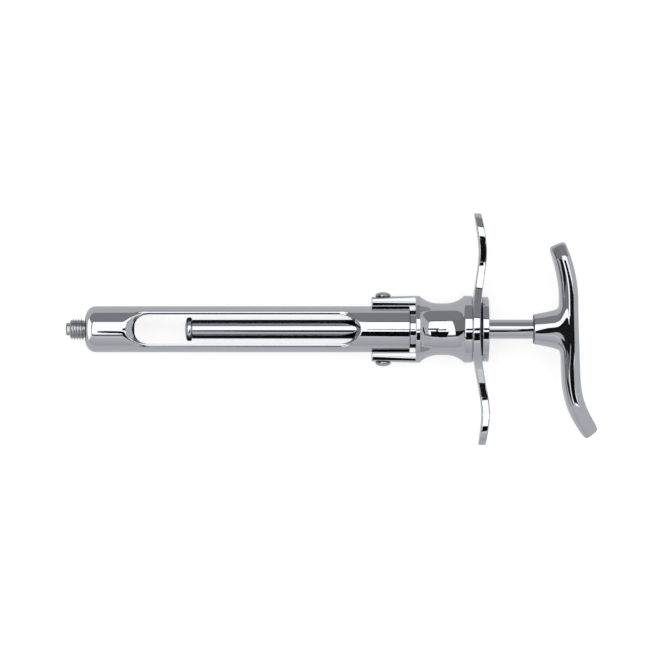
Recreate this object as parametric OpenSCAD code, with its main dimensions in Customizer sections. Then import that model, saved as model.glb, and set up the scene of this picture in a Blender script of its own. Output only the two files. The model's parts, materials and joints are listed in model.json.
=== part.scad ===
// Breech-loading cartridge syringe, all metal.
// X runs along the axis from the needle end to the thumb handle, Z is up.
// The origin is on the axis at the front face of the barrel, where the needle hub seats.

/* [Barrel] */
// Outer diameter of the barrel tube
barrel_d = 12.8; // [12.4:0.1:13.2]
// Length of the barrel tube
barrel_len = 90; // [88:0.5:94]
// Diameter of the cartridge bore
bore_d = 9.3; // [9:0.1:9.6]
// Thickness of the wall between the nose and the cartridge bore
nose_wall = 3; // [2.5:0.1:4]
// Length of the rounded nose corner
nose_round_len = 2.8; // [1.5:0.1:3.2]
// Diameter of the flat on the nose
nose_flat_d = 6.2; // [6:0.1:8]
// Depth of the lead-in chamfer at the open rear end
lead_in = 0.5; // [0.2:0.1:0.8]

/* [Windows] */
// Where the clear part of the window starts, from the nose
window_start = 13.3; // [12:0.1:18]
// Length of the clear part of the window
window_len = 62; // [50:0.1:63]
// Width of the slot that runs through both walls
window_w = 8.2; // [7.4:0.1:8.4]
// Radius of the slot ends and half the width of the dressed lips
window_end_r = 4.9; // [4.8:0.05:5.2]
// Height of the dressed lips above the axis
lip_z = 4.1; // [3.9:0.05:4.3]
// Length of the slanted cut at the front end of the window
front_bevel = 1.95; // [1:0.05:2.2]
// Length of the slanted cut at the rear end of the window
rear_bevel = 1; // [0.5:0.05:1.5]

/* [Needle adaptor] */
// Crest diameter of the needle thread
thread_d = 5.8; // [5.6:0.05:6]
// Length of the threaded part
thread_len = 4.2; // [3.5:0.1:5]
// Diameter of the plain tip
tip_d = 3.5; // [3.2:0.1:3.8]
// Length of the plain tip
tip_len = 1.2; // [0.8:0.1:1.5]
// Diameter of the shank that is screwed into the nose
shank_d = 4.4; // [4:0.1:4.6]
// Diameter of the hole that the needle passes through
needle_hole_d = 1.6; // [1.2:0.1:2]

/* [Hinge] */
// Distance from the hinge axis to the rear end of the barrel
hinge_back = 7.35; // [7:0.05:7.8]
// Width of each fork arm
arm_w = 5.2; // [5:0.1:5.4]
// Distance from the hinge axis to the front end of the arms
arm_nose = 3.2; // [2.8:0.05:3.4]
// Outer radius of the arms at their front end
arm_tip_r = 9; // [8.8:0.05:9.1]
// Inner radius of the arms
arm_bore_r = 6.95; // [6.9:0.05:7.1]
// Diameter of the screw heads
screw_head_d = 4.3; // [4:0.1:4.6]
// Height of the screw heads
screw_head_h = 1.6; // [1.2:0.1:1.8]
// Diameter of the screw thread in the arm
screw_thread_d = 3; // [2.8:0.1:3.2]
// Diameter of the plain pivot end of the screw
pivot_d = 2.4; // [2:0.1:2.6]
// Width of the driver slot
slot_w = 0.6; // [0.4:0.1:0.8]
// Depth of the driver slot
slot_depth = 0.6; // [0.4:0.1:0.8]

/* [Spool] */
// Radius of the two lands
land_r = 9.3; // [9.1:0.05:9.5]
// Radius of the waist
waist_r = 7.2; // [7.1:0.05:7.5]
// Radius of the sweep that runs from a land down to the waist
sweep_r = 7.4; // [7.2:0.1:7.6]
// Length of the straight part of the waist
waist_len = 2; // [1.6:0.1:2.6]
// Length of the front land
front_land = 1.2; // [1:0.1:2]
// Length of the rear land
rear_land = 2.15; // [1.6:0.05:2.4]
// Gap that the collar shows between the barrel and the spool
collar_show = 1.6; // [1.4:0.1:1.9]

/* [Collar and spring] */
// Diameter of the sliding collar
collar_d = 10.5; // [10.3:0.1:10.7]
// Length of the collar head
collar_head = 3.3; // [3:0.1:3.6]
// Diameter of the collar stem
stem_d = 8.1; // [8:0.05:8.2]
// Depth of the recess that takes the plunger tip
tip_recess = 5; // [4.8:0.1:5.4]
// Travel of the collar
collar_travel = 2.5; // [2.4:0.05:2.6]
// Thickness of the web that guides the stem
web_t = 2.2; // [1.8:0.1:2.6]
// Wire diameter of the spring
wire_d = 0.7; // [0.6:0.05:0.75]
// Turns of the spring
spring_turns = 4; // [3:1:4]
// Thickness of the ring nut on the stem
nut_t = 1.3; // [1:0.1:1.5]
// Diameter of the ring nut
nut_d = 11; // [10.6:0.1:11.2]

/* [Finger plate and cap] */
// Thickness of the finger plate
plate_t = 2.1; // [1.6:0.1:2.3]
// Distance from the axis to the tips of the wings
wing_reach = 32.2; // [30:0.2:35]
// Half width of the hub of the plate
hub_half = 9.4; // [9.2:0.1:10]
// Half width of the necks of the wings
neck_half = 3.65; // [3.2:0.05:4.2]
// Distance from the axis of the upper neck
upper_neck_y = 16.6; // [15:0.2:20]
// Distance from the axis of the lower neck
lower_neck_y = 19.2; // [17:0.2:20]
// Half width of the wings near their tips
wing_half = 4.7; // [4.2:0.1:5.2]
// How far the upper wing bows back
upper_bow = 2; // [1.2:0.05:2.6]
// Distance from the axis at which the upper wing bows most
upper_bow_y = 21.5; // [20:0.5:24]
// How far the tip of the upper wing stays back
upper_tip = 0.35; // [0:0.05:1]
// How far the lower wing bows back
lower_bow = 2.75; // [2:0.05:3]
// Distance from the axis at which the lower wing bows most
lower_bow_y = 23.5; // [21:0.5:25]
// How far the tip of the lower wing stays back
lower_tip = 1.6; // [1:0.05:2.2]
// Thickness of the washer behind the plate
washer_t = 0.7; // [0.5:0.1:1]
// Diameter of the washer
washer_d = 14.8; // [14.4:0.1:15.4]
// How far the rim of the end cap stands below the lands of the spool
cap_inset = 0.3; // [0.2:0.1:1]
// Thickness of the end cap
cap_t = 1.8; // [1.6:0.1:2.2]
// Diameter of the threaded sleeve of the cap
sleeve_d = 13.2; // [13:0.1:13.4]
// Length of the sleeve inside the spool
sleeve_grip = 2.3; // [2:0.1:2.4]

/* [Plunger] */
// Diameter of the plunger rod
rod_d = 5.3; // [5:0.05:5.4]
// Where the front of the plunger tip stands at rest, from the nose
tip_at = 27.6; // [20:0.2:32]
// Diameter of the plunger tip
plunger_tip_d = 6.6; // [6.4:0.05:6.7]
// Length of the plunger tip
plunger_tip_len = 2.1; // [1.8:0.05:2.2]
// Length of rod that shows behind the cap at rest
rod_show = 12.4; // [10:0.1:20]
// Diameter of the rod ends that are screwed in
stud_d = 3; // [2.6:0.1:3.2]

/* [Thumb handle] */
// Length of the handle neck, up to the crossbar
neck_len = 7.3; // [7:0.1:9]
// Diameter of the neck at its face
neck_d = 8.3; // [8:0.1:8.6]
// Diameter of the neck at the crossbar
neck_root_d = 10.2; // [9.8:0.1:10.4]
// Thickness of the crossbar
bar_t = 5.1; // [4.8:0.1:5.6]
// Width of the crossbar at the middle
bar_w = 11; // [10.6:0.2:12]
// Width of the crossbar at its ends
bar_tip_w = 8.6; // [8:0.2:9.6]
// Reach of the upper end of the crossbar
upper_reach = 23.6; // [22:0.2:26]
// Reach of the lower end of the crossbar
lower_reach = 29.2; // [28:0.2:32]
// How far the upper end leans forward
upper_lean = 3.3; // [2.8:0.1:4]
// How far the lower end leans back
lower_lean = 6.7; // [6:0.1:7.2]

/* [Hidden] */

// Clearances and small edge breaks
run_gap = 0.05;
seat_gap = 0.02;
free_gap = 0.3;
thread_gap = 0.02;
edge = 0.3;
eps = 0.1;
over = 1;

// Play left between the turns of the spring when the collar is right back
spring_play = 0.5;
// Step at the rear of the stem that carries the ring nut, and the nut's two slots
stem_step = 0.6;
nut_slot_w = 1.2;
nut_slot_depth = 0.6;
// Thickness of the flat boss on the front of the finger plate
plate_boss_t = 1.2;
// Length of the stud in the plunger tip, depth of the socket beyond the neck
stud_len = 1.4;
socket_extra = 1.5;
// Radius of the flare between the neck and the crossbar
neck_flare = 1.9;

// Stations along the axis
hinge_x = barrel_len - hinge_back;
arm_x = hinge_x - arm_nose;
spool_x = barrel_len + collar_show;
sweep_drop = land_r - waist_r;
sweep_len = sqrt(2 * sweep_r * sweep_drop - sweep_drop * sweep_drop);
waist_x = spool_x + front_land + sweep_len;
rear_x = waist_x + waist_len + sweep_len;
spool_end = rear_x + rear_land;
plate_end = spool_end + plate_t;
cap_x = plate_end + washer_t;
cap_end = cap_x + cap_t;
collar_x = barrel_len + seat_gap;
collar_back = collar_x + collar_head;
spring_room = collar_travel + (spring_turns + 1) * wire_d + spring_play;
web_x = collar_back + spring_room;
web_end = web_x + web_t;
nut_x = web_end + seat_gap;
sleeve_x = spool_end - sleeve_grip;
tip_back = tip_at + plunger_tip_len;
neck_x = cap_end + rod_show;
bar_front = neck_x + neck_len;
bar_mid = bar_front + bar_t / 2;
socket_depth = neck_len + socket_extra;

// Radii that follow from the driving dimensions
barrel_r = barrel_d / 2;
bore_r = bore_d / 2;
rod_r = rod_d / 2;
collar_r = collar_d / 2;
stem_r = stem_d / 2;
stud_r = stud_d / 2;
well_r = collar_r + 2 * run_gap;
nut_r = nut_d / 2;
stem_end_r = stem_r - stem_step;
sleeve_r = sleeve_d / 2;
sleeve_bore_r = nut_r + free_gap;
nut_room_r = sleeve_bore_r;
recess_r = plunger_tip_d / 2 + free_gap;
head_seat = sqrt(pow(arm_tip_r, 2) - pow(screw_head_d / 2, 2)) - seat_gap;
spring_r = (stem_r + well_r) / 2;
cap_r = land_r - cap_inset;
plate_seat_r = washer_d / 2 + free_gap;
plate_boss_r = land_r - edge;

steel = [0.78, 0.79, 0.82];
bright = [0.84, 0.85, 0.88];
dark_steel = [0.6, 0.61, 0.64];

function bezier(a, b, c, d, t) =
    pow(1 - t, 3) * a + 3 * pow(1 - t, 2) * t * b + 3 * (1 - t) * t * t * c + t * t * t * d;
function curve(a, b, c, d, steps) = [for (i = [0:steps]) bezier(a, b, c, d, i / steps)];
function backward(points) = [for (i = [len(points) - 1:-1:0]) points[i]];
function after_first(points) = [for (i = [1:len(points) - 1]) points[i]];

// Turns a profile of [radius, station] points about the X axis
module turned(fn = 96) {
    rotate([0, 90, 0])
        rotate_extrude($fn = fn)
            children();
}

module rod_along_x(x, length, r, fn = 96) {
    translate([x, 0, 0])
        rotate([0, 90, 0])
            cylinder(h = length, r = r, $fn = fn);
}

module cone_along_x(x, length, r1, r2, fn = 96) {
    translate([x, 0, 0])
        rotate([0, 90, 0])
            cylinder(h = length, r1 = r1, r2 = r2, $fn = fn);
}

// Points up the side of the nose, a quarter ellipse from the flat to the barrel wall
function nose_points(steps = 12) = [for (i = [0:steps])
    [nose_flat_d / 2 + (barrel_r - nose_flat_d / 2) * sin(90 * i / steps),
     nose_round_len * (1 - cos(90 * i / steps))]];

module barrel_blank() {
    turned()
        polygon(concat([[0, 0]], nose_points(),
                       [[barrel_r, barrel_len - edge], [barrel_r - edge, barrel_len], [0, barrel_len]]));
}

// Slot through both walls; its ends are arcs of the dressed lip's radius
module window_outline(half_width) {
    first = window_start + window_end_r;
    last = window_start + window_len - window_end_r;
    intersection() {
        translate([window_start - over, -half_width])
            square([window_len + 2 * over, 2 * half_width]);
        union() {
            for (x = [first, last])
                translate([x, 0])
                    circle(r = window_end_r, $fn = 96);
            translate([first, -half_width])
                square([last - first, 2 * half_width]);
        }
    }
}

// Cone that slants one end of a window from the bore out to the surface
module end_bevel(x, length) {
    rise = barrel_r - bore_r;
    growth = length / rise;
    reach = rise + over;
    translate([x, 0, bore_r])
        cylinder(h = reach, r1 = window_end_r, r2 = window_end_r + growth * reach, $fn = 96);
}

module window_side() {
    first = window_start + window_end_r;
    last = window_start + window_len - window_end_r;
    translate([0, 0, lip_z])
        linear_extrude(barrel_r)
            window_outline(window_end_r);
    intersection() {
        end_bevel(first, front_bevel);
        translate([first - 2 * barrel_r, -barrel_r, 0])
            cube([2 * barrel_r, barrel_d, 2 * barrel_r]);
    }
    intersection() {
        end_bevel(last, rear_bevel);
        translate([last, -barrel_r, 0])
            cube([2 * barrel_r, barrel_d, 2 * barrel_r]);
    }
}

module barrel_tube() {
    color(steel)
        difference() {
            barrel_blank();
            rod_along_x(nose_wall, barrel_len, bore_r);
            rod_along_x(-over, nose_wall + 2 * over, shank_d / 2);
            cone_along_x(barrel_len - lead_in, lead_in + eps, bore_r, bore_r + lead_in + eps);
            translate([0, 0, -over - barrel_r])
                linear_extrude(barrel_d + 2 * over)
                    window_outline(window_w / 2);
            window_side();
            mirror([0, 0, 1])
                window_side();
            translate([hinge_x, barrel_r + over, 0])
                rotate([90, 0, 0])
                    cylinder(h = barrel_d + 2 * over, r = pivot_d / 2 + run_gap, $fn = 64);
        }
}

module needle_adaptor() {
    chamfer = 0.4;
    tip_r = tip_d / 2;
    thread_r = thread_d / 2;
    shank_r = shank_d / 2 - thread_gap;
    hole_r = needle_hole_d / 2;
    color(dark_steel)
        turned()
            polygon([[hole_r, -thread_len - tip_len], [tip_r - chamfer, -thread_len - tip_len],
                     [tip_r, -thread_len - tip_len + chamfer], [tip_r, -thread_len],
                     [thread_r - chamfer, -thread_len], [thread_r, -thread_len + chamfer],
                     [thread_r, 0], [shank_r, 0], [shank_r, nose_wall], [hole_r, nose_wall]]);
}

// Outline of the spool and of the ring that the arms are cut from
module spool_blank() {
    turned()
        difference() {
            polygon([[0, arm_x], [arm_tip_r - edge, arm_x], [arm_tip_r, arm_x + edge],
                     [land_r, spool_x], [land_r, spool_end - edge], [land_r - edge, spool_end],
                     [0, spool_end]]);
            translate([waist_r + sweep_r, waist_x])
                circle(r = sweep_r, $fn = 96);
            translate([waist_r + sweep_r, waist_x + waist_len])
                circle(r = sweep_r, $fn = 96);
            translate([waist_r, waist_x])
                square([land_r, waist_len]);
        }
}

module fork_body() {
    arm_h = 2 * land_r;
    color(steel)
        difference() {
            spool_blank();
            // the ring in front of the spool becomes two arms
            rod_along_x(arm_x - over, spool_x - arm_x + over, arm_bore_r);
            for (side = [-1, 1])
                translate([arm_x - over, -arm_h, side > 0 ? arm_w / 2 : -arm_w / 2 - arm_h])
                    cube([spool_x - arm_x + over, 2 * arm_h, arm_h]);
            // well for the collar and its spring, guide for the stem, room for the nut
            rod_along_x(spool_x - over, web_x - spool_x + over, well_r);
            rod_along_x(web_x - over, web_t + 2 * over, stem_r + run_gap);
            rod_along_x(web_end, spool_end - web_end + over, nut_room_r);
            // thread for the sleeve of the cap
            rod_along_x(sleeve_x - free_gap, sleeve_grip + free_gap + over, sleeve_r + thread_gap);
            for (side = [0, 180])
                rotate([side, 0, 0])
                    translate([hinge_x, 0, 0])
                        rotate([-90, 0, 0]) {
                            cylinder(h = land_r + over, r = screw_thread_d / 2 + thread_gap, $fn = 64);
                            translate([0, 0, head_seat])
                                cylinder(h = over, r = screw_head_d / 2 + seat_gap + eps, $fn = 64);
                        }
        }
}

// Dome-headed hinge screw on the +Y arm; its plain end is the pivot of the barrel
module hinge_screw() {
    head_r = screw_head_d / 2;
    rim = 0.3;
    dome_h = screw_head_h - rim;
    dome_r = (head_r * head_r + dome_h * dome_h) / (2 * dome_h);
    head_y = head_seat + seat_gap;
    pivot_end = bore_r + free_gap;
    shoulder = barrel_r + free_gap / 2;
    translate([hinge_x, 0, 0])
        rotate([-90, 0, 0])
            difference() {
                union() {
                    translate([0, 0, pivot_end])
                        cylinder(h = head_y - pivot_end, r = pivot_d / 2, $fn = 64);
                    translate([0, 0, shoulder])
                        cylinder(h = head_y - shoulder, r = screw_thread_d / 2, $fn = 64);
                    rotate_extrude($fn = 64)
                        intersection() {
                            translate([0, head_y])
                                square([head_r, screw_head_h]);
                            translate([0, head_y + screw_head_h - dome_r])
                                circle(r = dome_r, $fn = 96);
                        }
                }
                translate([-head_r - over, -slot_w / 2, head_y + screw_head_h - slot_depth])
                    cube([2 * head_r + 2 * over, slot_w, slot_depth + over]);
            }
}

module hinge_screw_upper() {
    color(bright)
        hinge_screw();
}

module hinge_screw_lower() {
    color(bright)
        rotate([180, 0, 0])
            hinge_screw();
}

// Sliding collar: its face bears on the end of the barrel, its stem runs in the web
module lock_collar() {
    stem_end = nut_x + nut_t;
    color(steel)
        difference() {
            union() {
                rod_along_x(collar_x + edge, collar_head - edge, collar_r);
                cone_along_x(collar_x, edge, collar_r - edge, collar_r);
                rod_along_x(collar_x, nut_x - collar_x, stem_r);
                rod_along_x(collar_x, stem_end - collar_x, stem_end_r);
            }
            rod_along_x(collar_x - over, tip_recess + over, recess_r);
            rod_along_x(collar_x, stem_end + over - collar_x, rod_r + free_gap);
        }
}

// Six-sided wire swept along the helix of the spring
spring_steps = 16;
wire_sides = 6;
spring_first = collar_back + wire_d / 2 + seat_gap;
spring_last = web_x - wire_d / 2 - seat_gap;
spring_pitch = (spring_last - spring_first) / spring_turns;
function spring_ring(i) = [for (j = [0:wire_sides - 1])
    let (turn = 360 * i / spring_steps, around = 360 * j / wire_sides,
         r = spring_r + wire_d / 2 * cos(around))
    [spring_first + spring_pitch * i / spring_steps + wire_d / 2 * sin(around),
     r * cos(turn), r * sin(turn)]];
spring_rings = spring_turns * spring_steps;
spring_points = [for (i = [0:spring_rings]) each spring_ring(i)];
spring_side_faces = [for (i = [0:spring_rings - 1], j = [0:wire_sides - 1])
    let (k = (j + 1) % wire_sides, a = i * wire_sides, b = a + wire_sides)
    each [[a + j, b + j, a + k], [a + k, b + j, b + k]]];
spring_end_faces = [[for (j = [0:wire_sides - 1]) j],
                    [for (j = [wire_sides - 1:-1:0]) spring_rings * wire_sides + j]];
// Least gap between two points of the wire that are one turn apart
spring_gap = min([for (i = [0:spring_rings - spring_steps], p = spring_ring(i), q = spring_ring(i + spring_steps))
    norm(p - q)]);
echo(least_gap_of_spring = spring_gap);

module lock_spring() {
    color(dark_steel)
        polyhedron(spring_points, concat(spring_side_faces, spring_end_faces));
}

module collar_nut() {
    color(bright)
        difference() {
            rod_along_x(nut_x, nut_t, nut_r);
            rod_along_x(nut_x - over, nut_t + 2 * over, stem_end_r + thread_gap);
            for (side = [0, 180])
                rotate([side, 0, 0])
                    translate([nut_x + nut_t / 2, nut_r - nut_slot_depth, -nut_slot_w / 2])
                        cube([nut_t, over, nut_slot_w]);
        }
}

// Half of the plate outline, from the middle of the hub to the tip of a wing
hub_ease = 7;
flare_ease = 3;
tip_len_y = 6.5;
flare_y = wing_reach - tip_len_y;
function half_outline(neck_y) = concat(
    curve([0, hub_half], [hub_ease, hub_half], [hub_ease, neck_half], [neck_y, neck_half], 16),
    after_first(curve([neck_y, neck_half], [neck_y + flare_ease, neck_half],
                      [flare_y - flare_ease, wing_half], [flare_y, wing_half], 6)),
    after_first(curve([flare_y, wing_half], [flare_y + flare_ease, wing_half],
                      [wing_reach, wing_half - flare_ease / 2], [wing_reach, 0], 12)));

// Middle line of one wing as [distance from the axis, distance behind the hub]
bow_rise = 10.5;
bow_ease = 6;
function wing_line(bow, bow_y, tip) = concat(
    curve([0, 0], [bow_rise, 0], [bow_y - bow_ease, bow], [bow_y, bow], 14),
    after_first(curve([bow_y, bow], [bow_y + bow_ease / 2, bow],
                      [wing_reach - bow_ease / 2, (bow + tip) / 2], [wing_reach + over, tip], 8)));

function shifted(points, d) = [for (i = [0:len(points) - 1])
    let (a = points[max(i - 1, 0)], b = points[min(i + 1, len(points) - 1)], t = (b - a) / norm(b - a))
    points[i] + d * [-t[1], t[0]]];

// Side view of the plate: one band along the middle line of both wings
module plate_profile() {
    mid = spool_end + plate_t / 2;
    lower = [for (p = backward(wing_line(lower_bow, lower_bow_y, lower_tip))) [mid + p[1], -p[0]]];
    upper = [for (p = wing_line(upper_bow, upper_bow_y, upper_tip)) if (p[0] > 0) [mid + p[1], p[0]]];
    line = concat(lower, upper);
    polygon(concat(shifted(line, -plate_t / 2), backward(shifted(line, plate_t / 2))));
}

// Plan view of the plate, the half outlines of both wings taken round both sides
module plate_plan() {
    lower = half_outline(lower_neck_y);
    top = concat([for (p = backward(lower)) if (p[0] > 0) [p[1], -p[0]]],
                 [for (p = half_outline(upper_neck_y)) [p[1], p[0]]]);
    polygon(concat(top, [for (p = backward(top)) if (p[0] > 0) [-p[0], p[1]]]));
}

// Bowed plate with a flat boss against the spool and a flat seat for the washer
module finger_plate() {
    color(steel)
        difference() {
            union() {
                intersection() {
                    translate([0, 0, -hub_half - over])
                        linear_extrude(2 * hub_half + 2 * over)
                            plate_profile();
                    translate([spool_end - over, 0, 0])
                        rotate([0, 90, 0])
                            linear_extrude(plate_t + max(upper_bow, lower_bow) + 2 * over)
                                plate_plan();
                }
                rod_along_x(spool_end, plate_boss_t, plate_boss_r);
            }
            rod_along_x(spool_end - over, plate_t + 2 * over, sleeve_r + thread_gap + run_gap);
            rod_along_x(plate_end, plate_t, plate_seat_r);
        }
}

module spacer_washer() {
    color(dark_steel)
        difference() {
            rod_along_x(plate_end, washer_t, washer_d / 2);
            rod_along_x(plate_end - over, washer_t + 2 * over, sleeve_r + run_gap);
        }
}

module end_cap() {
    color(steel)
        difference() {
            union() {
                turned()
                    polygon([[0, cap_x], [cap_r - edge / 2, cap_x], [cap_r, cap_x + edge / 2],
                             [cap_r, cap_end - edge], [cap_r - edge, cap_end], [0, cap_end]]);
                rod_along_x(sleeve_x, cap_x - sleeve_x + eps, sleeve_r);
            }
            rod_along_x(sleeve_x - over, cap_x - sleeve_x + over, sleeve_bore_r);
            rod_along_x(cap_x - over, cap_t + 2 * over, rod_r + run_gap);
        }
}

module plunger_rod() {
    color(bright)
        union() {
            rod_along_x(tip_back, neck_x - tip_back + seat_gap, rod_r);
            rod_along_x(tip_back - stud_len, stud_len + over, stud_r);
            rod_along_x(neck_x, socket_depth - seat_gap, rod_r);
        }
}

module plunger_tip() {
    dome = 0.6;
    r = plunger_tip_d / 2;
    dome_r = (r * r + dome * dome) / (2 * dome);
    color(steel)
        difference() {
            turned()
                intersection() {
                    translate([0, tip_at])
                        square([r, plunger_tip_len - seat_gap]);
                    translate([0, tip_at + dome_r])
                        circle(r = dome_r, $fn = 128);
                }
            rod_along_x(tip_back - stud_len - run_gap, stud_len + over, stud_r + run_gap);
        }
}

// Middle line of the crossbar as [x, y], from the lower end to the upper end
lower_end = [bar_mid + lower_lean, -lower_reach];
lower_bend = [bar_mid + 0.7, -14];
upper_bend = [bar_mid, 9];
upper_end = [bar_mid - upper_lean, upper_reach];
function bar_line() = concat(
    curve(lower_end, lower_end + [-3.3, 4.1], lower_bend + [0.2, -6], lower_bend, 11),
    after_first(curve(lower_bend, lower_bend + [-0.3, 8], upper_bend + [0, -7], upper_bend, 6)),
    after_first(curve(upper_bend, upper_bend + [0, 4.2], upper_end + [2.1, -5.3], upper_end, 9)));

// Half width of the crossbar at a distance y from the axis
function bar_half_w(y) =
    let (reach = y > 0 ? upper_reach : lower_reach, s = min(abs(y) / reach, 1))
    (bar_w + (bar_tip_w - bar_w) * s * s) / 2;

// The ends of the bar are dressed back to a smaller flat
function end_share(i, last) = i == 0 || i == last ? 0.62 : (i == 1 || i == last - 1 ? 0.93 : 1);

bar_sides = 20;
bar_points_line = bar_line();
bar_last = len(bar_points_line) - 1;
function bar_ring(i) =
    let (a = bar_points_line[max(i - 1, 0)], b = bar_points_line[min(i + 1, bar_last)],
         t = (b - a) / norm(b - a), n = [t[1], -t[0]], c = bar_points_line[i], share = end_share(i, bar_last))
    [for (j = [0:bar_sides - 1])
        let (around = 360 * j / bar_sides, u = cos(around) * bar_t / 2 * share,
             w = sin(around) * (bar_half_w(c[1]) - (1 - share) * bar_t / 2))
        [c[0] + n[0] * u, c[1] + n[1] * u, w]];

module crossbar() {
    points = [for (i = [0:bar_last]) each bar_ring(i)];
    sides = [for (i = [0:bar_last - 1], j = [0:bar_sides - 1])
        let (k = (j + 1) % bar_sides, a = i * bar_sides, b = a + bar_sides)
        each [[a + j, a + k, b + k], [a + j, b + k, b + j]]];
    ends = [[for (j = [bar_sides - 1:-1:0]) j], [for (j = [0:bar_sides - 1]) bar_last * bar_sides + j]];
    polyhedron(points, concat(sides, ends));
}

// Round neck that flares into the crossbar and stays within its width
module handle_neck() {
    root_r = neck_root_d / 2;
    root_x = bar_front - neck_flare;
    intersection() {
        turned()
            difference() {
                polygon([[0, neck_x], [neck_d / 2 - edge, neck_x], [neck_d / 2, neck_x + edge],
                         [root_r, root_x], [root_r + neck_flare, bar_front], [0, bar_mid]]);
                translate([root_r + neck_flare, root_x])
                    circle(r = neck_flare, $fn = 64);
            }
        translate([neck_x, -2 * root_r, -bar_w / 2 + edge])
            cube([neck_len + bar_t, 4 * root_r, bar_w - 2 * edge]);
    }
}

module thumb_handle() {
    color(steel)
        difference() {
            union() {
                crossbar();
                handle_neck();
            }
            rod_along_x(neck_x - over, socket_depth + over, rod_r + seat_gap);
        }
}

barrel_tube();
needle_adaptor();
fork_body();
hinge_screw_upper();
hinge_screw_lower();
lock_collar();
lock_spring();
collar_nut();
finger_plate();
spacer_washer();
end_cap();
plunger_rod();
plunger_tip();
thumb_handle();
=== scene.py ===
"""Cartridge syringe of polished metal.

A windowed barrel is hinged in a fork body, with a finger plate and a T-shaped thumb handle behind it.
X runs along the axis from the needle end to the thumb handle.
+Y is up in the picture and +Z is toward the camera.
"""

import json
import math

import bmesh
import bpy
from mathutils import Matrix, Vector


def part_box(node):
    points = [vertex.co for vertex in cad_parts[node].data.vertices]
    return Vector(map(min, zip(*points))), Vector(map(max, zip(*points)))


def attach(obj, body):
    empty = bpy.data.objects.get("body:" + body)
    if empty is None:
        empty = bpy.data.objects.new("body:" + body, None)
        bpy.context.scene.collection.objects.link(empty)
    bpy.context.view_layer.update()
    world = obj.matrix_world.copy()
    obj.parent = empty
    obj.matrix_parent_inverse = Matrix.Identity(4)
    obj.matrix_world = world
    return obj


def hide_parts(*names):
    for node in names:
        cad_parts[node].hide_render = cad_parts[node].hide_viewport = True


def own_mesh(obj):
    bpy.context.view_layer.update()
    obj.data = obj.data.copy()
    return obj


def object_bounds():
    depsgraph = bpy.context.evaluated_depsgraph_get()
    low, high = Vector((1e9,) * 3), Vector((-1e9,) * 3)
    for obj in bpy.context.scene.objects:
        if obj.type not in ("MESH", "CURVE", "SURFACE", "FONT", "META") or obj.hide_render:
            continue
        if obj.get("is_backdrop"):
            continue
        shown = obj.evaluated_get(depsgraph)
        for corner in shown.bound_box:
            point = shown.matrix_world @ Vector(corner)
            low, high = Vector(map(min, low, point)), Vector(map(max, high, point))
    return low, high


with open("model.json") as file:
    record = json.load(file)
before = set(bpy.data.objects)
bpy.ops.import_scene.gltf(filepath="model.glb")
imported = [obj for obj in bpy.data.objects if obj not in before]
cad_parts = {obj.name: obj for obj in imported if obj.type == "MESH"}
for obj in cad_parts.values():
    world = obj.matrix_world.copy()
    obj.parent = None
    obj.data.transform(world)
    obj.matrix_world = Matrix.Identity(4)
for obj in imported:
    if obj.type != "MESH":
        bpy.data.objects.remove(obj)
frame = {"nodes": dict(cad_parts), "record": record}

bl_info = {
    "name": "Cartridge syringe",
    "version": (1, 0, 0),
    "blender": (4, 5, 0),
    "location": "View3D > Sidebar > Syringe",
    "description": "Builds a polished cartridge syringe piece by piece around its mechanical frame",
    "category": "Add Mesh",
}

MM = 0.001
QUARTER = math.pi / 2
FIT = 0.02 * MM  # gap between pieces that fit together
LOOSE = 0.05 * MM  # gap round a stud or a sleeve

WHITE = 1.65  # radiance that the plated metal shows as plain white
DARK = 0.01  # radiance of the dark cards
BLACK = 0.004  # radiance of the stand and of the camera's front
FLOOR_SEEN = 0.62  # radiance of the floor in reflections
FLOOR_LIFT = 0.68  # light added to the floor for the camera, so that it is white with a faint shadow
SOFTBOX_Z = 1200  # height of the overhead cards, in millimetres
RIG_Z = 1000  # height of the stand and of the camera's front, in millimetres

METALS = {}  # material of each slot


# ---- properties ----


def length(name, description, mm):
    """A size in metres, written here in millimetres."""
    return bpy.props.FloatProperty(
        name=name, description=description, default=mm * MM, unit="LENGTH", precision=5
    )


def linear(code):
    """Linear colour from an sRGB hex code."""
    parts = [int(code[i : i + 2], 16) / 255 for i in (1, 3, 5)]
    return tuple(c / 12.92 if c <= 0.04045 else ((c + 0.055) / 1.055) ** 2.4 for c in parts)


def colour(name, description, code):
    """A colour, written here as an sRGB hex code."""
    return bpy.props.FloatVectorProperty(
        name=name, description=description, default=linear(code), subtype="COLOR", size=3, min=0, max=1
    )


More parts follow.
